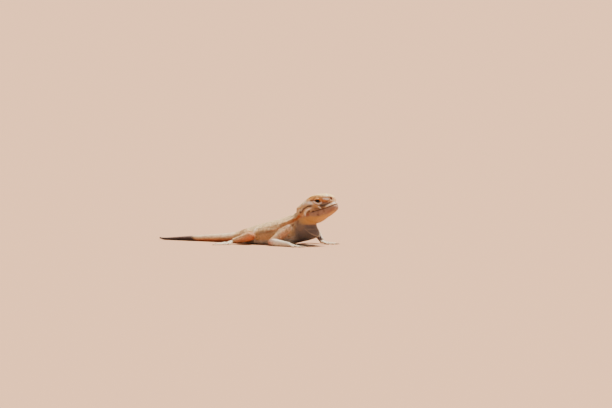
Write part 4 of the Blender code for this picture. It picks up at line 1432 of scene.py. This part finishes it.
def headSpines():
    plan = spinePlan
    for side, word in sides:
        spines = []
        for row in plan["templeRows"]:
            count = row["count"]
            for k, (back, out, up) in enumerate(alongLine(row["line"], count)):
                spot = skinTree.find_nearest(onHead(back, side * abs(out), up))
                swell = 0.75 + 0.4 * math.sin(math.pi * (k + 0.5) / count) + random.normal(0, 0.05)
                way = (spot[1] * 0.9 + headTurn @ Vector((-0.7, 0, 0.1))
                       + Vector(random.normal(0, 0.04, 3)))
                spines.append((spot[0], way, row["length"] * swell,
                               plan["templeWidth"] * (0.8 + 0.25 * swell)))
        growSpines(f"temple_spines_{word}", spines, flat=0.8, brighten=1.12)
        spines = []
        back, out, up = plan["flapCentre"]
        lowEnd = math.radians(plan["flapTurn"][0])
        for row in plan["flapRows"]:
            for turn in np.radians(np.linspace(*plan["flapTurn"], row["count"])):
                reach = plan["flapRadius"] + row["out"]
                away = headTurn @ Vector((-math.cos(turn), 0, math.sin(turn)))
                spot = skinTree.find_nearest(onHead(back + reach * math.cos(turn), side * (abs(out) + 0.9),
                                                    up + reach * math.sin(turn)))
                swell = 0.8 + 0.3 * math.sin((lowEnd - turn) * 1.3) + random.normal(0, 0.05)
                spines.append((spot[0], away + spot[1] * 0.75, row["length"] * swell, row["width"]))
        growSpines(f"mouth_flap_{word}", spines, flat=0.65, brighten=1.1, tone="flap")


lidRows = {
    "lid_edge": {"kind": "bead", "count": 40, "lift": 0.2, "spread": 1.1, "ahead": 1.0, "aside": 0.2,
                 "length": 0.34, "width": 0.36},
    "lid_fringe": {"kind": "spike", "count": 34, "lift": 0.28, "spread": 1.32, "ahead": 0.75, "aside": 0.85,
                   "length": 0.56, "width": 0.42},
}


def lidFringes():
    # A row of beads along the edge of the lids and a row of pointed scales outside it.
    for side, word in sides:
        look, along, above = eyeAxes(side)
        for name, row in lidRows.items():
            spines = []
            for k in range(row["count"]):
                angle = 2 * math.pi * (k + 0.5) / row["count"]
                rise = math.sin(angle)
                outward = above * rise + along * (0.4 * math.cos(angle))
                place = lidPoint(side, angle, fleshPlan["lidRadius"] + row["lift"], row["spread"])
                way = look * row["ahead"] + outward * row["aside"]
                length = row["length"] * (0.7 + 0.5 * abs(rise)) * (1.2 if rise > 0 else 1.0)
                spines.append((place, way, length, row["width"]))
            growSpines(f"{name}_{word}", spines, flat=0.75, brighten=1.15, kind=row["kind"])


toeFringe = {"spacing": 0.78, "length": 1.35, "width": 0.55, "from": 0.1, "to": 0.93, "height": 0.42}


def toeCombs():
    # The fourth toe carries a comb on both sides, the others but the first one on the outer side.
    for name in ("foot_right", "foot_left"):
        plan = limbPlan[name]
        spines = []
        lines = digitLines(plan)
        outer = (plan["side"],)
        for k, combSides in ((2, outer), (3, (-1, 1)), (1, outer), (4, outer)):
            line = lines[k]
            short = 1.0 if k in (2, 3) else 0.5
            across = Vector((-line["along"].y, line["along"].x, 0))
            for combSide in combSides:
                span = toeFringe["to"] - toeFringe["from"]
                count = int(line["length"] * span / toeFringe["spacing"])
                for step in range(count):
                    t = toeFringe["from"] + span * step / (count - 1)
                    place = line["points"][0].lerp(line["points"][-1], t)
                    radius = line["radius"] * (1 - digitShape["taper"] * t)
                    place = place + across * combSide * radius * 0.72
                    place.z = toeFringe["height"]
                    way = across * combSide + line["along"] * 0.5 + Vector((0, 0, 0.02))
                    swell = 0.6 + 0.45 * math.sin(math.pi * min(1.0, t + 0.15))
                    length = toeFringe["length"] * swell * short * random.normal(1.0, 0.05)
                    spines.append((place, way, length, toeFringe["width"] * (0.8 + 0.2 * swell)))
        word = name.split("_")[1]
        growSpines(f"toe_combs_{word}", spines, flat=0.45, tone="toe")


headSpines()
lidFringes()
toeCombs()
print("  spines and combs")


# Claws, one for each digit, rooted in its tip

clawPlan = {"length": 2.5, "width": 0.82, "height": 0.92, "sunk": 0.55}


def growClaws():
    made = {}
    for name, plan in limbPlan.items():
        points, triangles = clawShape
        reach = points[:, 1].max()
        pieces = []
        for line in digitLines(plan):
            tip, along = np.array(line["points"][-1]), np.array(line["along"])
            across = np.array((along[1], -along[0], 0.0))
            size = clawPlan["length"] / reach
            root = tip - along * clawPlan["sunk"]
            wide = clawPlan["width"] * line["radius"] / 0.68
            place = (root + points[:, :1] * wide * across + points[:, 1:2] * size * along
                     + points[:, 2:3] * clawPlan["height"] * np.array((0, 0, 1.0)))
            pieces.append((np.clip(place, boxLow, boxHigh), triangles))
        item = meshFrom("claws_" + name, *joined(pieces))
        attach(item, "root")
        made[name] = item
    return made


claws = growClaws()


# Eyes: a ball with the bulge of the cornea, turned along its line of sight

eyePlan = {
    "radius": 3.1, "segments": 56, "rings": 36, "cornea": 0.16,
    "corneaSteps": ((0.80, 0.25), (0.88, 0.35), (0.95, 0.4)),     # above this height, this share of it
}


def modelEye(side, word):
    look, along, above = eyeAxes(side)
    deselectAll()
    bpy.ops.mesh.primitive_uv_sphere_add(segments=eyePlan["segments"], ring_count=eyePlan["rings"],
                                         radius=eyePlan["radius"])
    item = bpy.context.object
    item.name = f"eyeball_{word}"
    bpy.ops.object.mode_set(mode="EDIT")
    for limit, push in eyePlan["corneaSteps"]:
        pick(item, lambda vert: vert.co.z > eyePlan["radius"] * limit)
        bpy.ops.transform.translate(value=(0, 0, eyePlan["cornea"] * push))
    bpy.ops.object.mode_set(mode="OBJECT")
    turn = Matrix((along, above, look)).transposed().to_4x4()
    if turn.determinant() < 0:
        turn = Matrix((-along, above, look)).transposed().to_4x4()
    item.data.transform(Matrix.Translation(eyeMiddle[side] * mm) @ turn @ Matrix.Scale(mm, 4))
    item.data.shade_smooth()
    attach(item, "root")
    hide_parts(f"eye_{word}")
    return item


eyeballs = {side: modelEye(side, word) for side, word in sides}
print("claws and eyes")


# Finishes

def newLook(name):
    look = bpy.data.materials.new(name)
    look.use_nodes = True
    nodes, links = look.node_tree.nodes, look.node_tree.links
    return look, nodes, links, nodes["Principled BSDF"]


def objectPlace(nodes, links, shift=(0, 0, 0)):
    # Object coordinates in metres, moved by a Mapping node.
    place = nodes.new("ShaderNodeTexCoord")
    mapping = nodes.new("ShaderNodeMapping")
    mapping.inputs["Location"].default_value = shift
    links.new(place.outputs["Object"], mapping.inputs["Vector"])
    return mapping.outputs["Vector"]


def ranged(nodes, links, value, low, high):
    # A value from 0 to 1 spread over a range.
    spread = nodes.new("ShaderNodeMapRange")
    spread.inputs["To Min"].default_value = low
    spread.inputs["To Max"].default_value = high
    links.new(value, spread.inputs["Value"])
    return spread.outputs["Result"]


def noiseOn(nodes, links, place, scale, detail):
    noise = nodes.new("ShaderNodeTexNoise")
    noise.inputs["Scale"].default_value = scale
    noise.inputs["Detail"].default_value = detail
    links.new(place, noise.inputs["Vector"])
    return noise


def setStops(colours, stops):
    # Puts the stops of a colour ramp in place: each a position and a colour of 0 to 255.
    elements = colours.color_ramp.elements
    while len(elements) < len(stops):
        elements.new(0.5)
    for element, (position, colour) in zip(elements, stops):
        element.position = position
        element.color = (*linear(colour), 1)


finishPlan = {
    "bareSkin": {"rough": (0.6, 0.85), "grain": 2200.0, "shine": 0.25, "soft": 0.12},
    "scaleHorn": {"rough": (0.42, 0.7), "grain": 3400.0, "shine": 0.35, "soft": 0.06},
}
grainPlan = {"detail": 5.0, "roughness": 0.6, "tint": (0.8, 1.16), "bump": 0.35, "depth": 0.00006}


def scaleFinish(name):
    # Painted markings with painted light and shade, broken up by fine grain, with roughness and bump from
    # the same noise.
    plan = finishPlan[name]
    look, nodes, links, shader = newLook(name)
    marks = nodes.new("ShaderNodeAttribute")
    marks.attribute_name = "markingsAndPaintedLight"
    fine = noiseOn(nodes, links, objectPlace(nodes, links), plan["grain"], grainPlan["detail"])
    fine.inputs["Roughness"].default_value = grainPlan["roughness"]
    grain = fine.outputs["Fac"]
    tint = nodes.new("ShaderNodeVectorMath")
    tint.operation = "MULTIPLY"
    links.new(marks.outputs["Color"], tint.inputs[0])
    links.new(ranged(nodes, links, grain, *grainPlan["tint"]), tint.inputs[1])
    links.new(tint.outputs["Vector"], shader.inputs["Base Color"])
    links.new(ranged(nodes, links, grain, *plan["rough"]), shader.inputs["Roughness"])
    bump = nodes.new("ShaderNodeBump")
    bump.inputs["Strength"].default_value = grainPlan["bump"]
    bump.inputs["Distance"].default_value = grainPlan["depth"]
    links.new(grain, bump.inputs["Height"])
    links.new(bump.outputs["Normal"], shader.inputs["Normal"])
    shader.inputs["Specular IOR Level"].default_value = plan["shine"]
    shader.inputs["Subsurface Weight"].default_value = plan["soft"]
    shader.inputs["Subsurface Radius"].default_value = (1.0, 0.55, 0.35)
    shader.inputs["Subsurface Scale"].default_value = 0.0006
    return look


hornPlan = {
    "streak": 2600.0, "detail": 3.0, "rough": (0.26, 0.44),
    "stops": ((0.3, (150, 112, 78)), (0.7, (214, 184, 146))),
}


def clawFinish():
    look, nodes, links, shader = newLook("horn")
    place = objectPlace(nodes, links)
    streak = noiseOn(nodes, links, place, hornPlan["streak"], hornPlan["detail"]).outputs["Fac"]
    colours = nodes.new("ShaderNodeValToRGB")
    setStops(colours, hornPlan["stops"])
    links.new(streak, colours.inputs["Fac"])
    links.new(colours.outputs["Color"], shader.inputs["Base Color"])
    links.new(ranged(nodes, links, streak, *hornPlan["rough"]), shader.inputs["Roughness"])
    return look


irisPlan = {
    "fibres": 9.0, "detail": 4.0, "waver": 0.035,
    # White's edge, rim, iris and pupil, by the cosine of the angle from the line of sight
    "stops": ((0.55, (40, 26, 20)), (0.72, (10, 7, 6)), (0.775, (96, 52, 22)), (0.85, (150, 88, 36)),
              (0.905, (88, 46, 18)), (0.925, (3, 2, 2))),
}


def eyeFinish(side, word):
    # Pupil, iris and its dark rim are rings round the line of sight.
    look, nodes, links, shader = newLook(f"eye_{word}_gloss")
    unit = nodes.new("ShaderNodeVectorMath")
    unit.operation = "NORMALIZE"
    links.new(objectPlace(nodes, links, -eyeMiddle[side] * mm), unit.inputs[0])
    facing = nodes.new("ShaderNodeVectorMath")
    facing.operation = "DOT_PRODUCT"
    facing.inputs[1].default_value = eyeAxes(side)[0]
    links.new(unit.outputs["Vector"], facing.inputs[0])
    fibres = noiseOn(nodes, links, unit.outputs["Vector"], irisPlan["fibres"], irisPlan["detail"])
    shifted = nodes.new("ShaderNodeMath")
    shifted.operation = "MULTIPLY_ADD"
    shifted.inputs[1].default_value = irisPlan["waver"]
    links.new(fibres.outputs["Fac"], shifted.inputs[0])
    links.new(facing.outputs["Value"], shifted.inputs[2])
    rings = nodes.new("ShaderNodeValToRGB")
    setStops(rings, irisPlan["stops"])
    links.new(shifted.outputs["Value"], rings.inputs["Fac"])
    links.new(rings.outputs["Color"], shader.inputs["Base Color"])
    shader.inputs["Roughness"].default_value = 0.14
    shader.inputs["Specular IOR Level"].default_value = 0.18
    shader.inputs["Coat Weight"].default_value = 0.12
    shader.inputs["Coat Roughness"].default_value = 0.04
    return look


def wear(item, look):
    item.data.materials.clear()
    item.data.materials.append(look)


skinLook = scaleFinish("bareSkin")
scaleLook = scaleFinish("scaleHorn")
wear(skin, skinLook)
for piece in coatPieces:
    wear(piece, scaleLook)
hornLook = clawFinish()
for piece in claws.values():
    wear(piece, hornLook)
for side, word in sides:
    wear(eyeballs[side], eyeFinish(side, word))
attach(skin, "root")
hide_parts(*fleshNodes)
print("finishes set")


# Camera, light and floor

cameraPlan = {
    "azimuth": 28.0, "elevation": 3.5, "distance": 4.9,
    "metresPerPixel": 0.00072,      # at the lizard, in the photograph's 612 by 408 pixels
    "imageWidth": 612, "imageHeight": 408,
    "originAt": (247.66, 242.7),    # where the lizard's origin falls in the photograph
    "sensor": 36.0, "clip": (0.05, 60.0),
}


def setCamera():
    plan = cameraPlan
    azimuth, elevation = math.radians(plan["azimuth"]), math.radians(plan["elevation"])
    right = Vector((math.cos(azimuth), math.sin(azimuth), 0))
    backward = Vector((math.sin(azimuth) * math.cos(elevation), -math.cos(azimuth) * math.cos(elevation),
                       math.sin(elevation)))
    upward = backward.cross(right)
    scale = plan["metresPerPixel"]
    target = (right * (plan["imageWidth"] / 2 - plan["originAt"][0]) * scale
              + upward * (plan["originAt"][1] - plan["imageHeight"] / 2) * scale)
    deselectAll()
    bpy.ops.object.camera_add(location=target + backward * plan["distance"])
    camera = bpy.context.object
    camera.name = "camera"
    camera.data.sensor_width = plan["sensor"]
    camera.data.lens = plan["sensor"] * plan["distance"] / (plan["imageWidth"] * scale)
    camera.rotation_euler = backward.to_track_quat("Z", "Y").to_euler()
    camera.data.clip_start, camera.data.clip_end = plan["clip"]
    bpy.context.scene.camera = camera


floorPlan = {"size": 30.0, "colour": (0.49, 0.265, 0.145, 1), "rough": 0.95}


def setFloor():
    deselectAll()
    bpy.ops.mesh.primitive_plane_add(size=floorPlan["size"], location=(0, 0, 0))
    floor = bpy.context.object
    floor.name = "floor"
    look, _, _, shader = newLook("palePaper")
    shader.inputs["Base Color"].default_value = floorPlan["colour"]
    shader.inputs["Roughness"].default_value = floorPlan["rough"]
    floor.data.materials.append(look)


lightPlan = {
    "sky": (1.0, 0.97, 0.94, 1), "skyStrength": 0.55,
    "sun": (1.0, 0.95, 0.87), "sunStrength": 12.0, "sunAngle": 14, "sunFrom": (0.22, 0.5, 1.0),
}


def setLight():
    world = bpy.data.worlds.new("studio")
    bpy.context.scene.world = world
    world.use_nodes = True
    backdrop = world.node_tree.nodes["Background"]
    backdrop.inputs["Color"].default_value = lightPlan["sky"]
    backdrop.inputs["Strength"].default_value = lightPlan["skyStrength"]
    deselectAll()
    bpy.ops.object.light_add(type="SUN", location=(0, 0, 1))
    lamp = bpy.context.object
    lamp.name = "overhead"
    lamp.data.energy = lightPlan["sunStrength"]
    lamp.data.angle = math.radians(lightPlan["sunAngle"])
    lamp.data.color = lightPlan["sun"]
    lamp.rotation_euler = Vector(lightPlan["sunFrom"]).to_track_quat("Z", "Y").to_euler()


setCamera()
setLight()
setFloor()
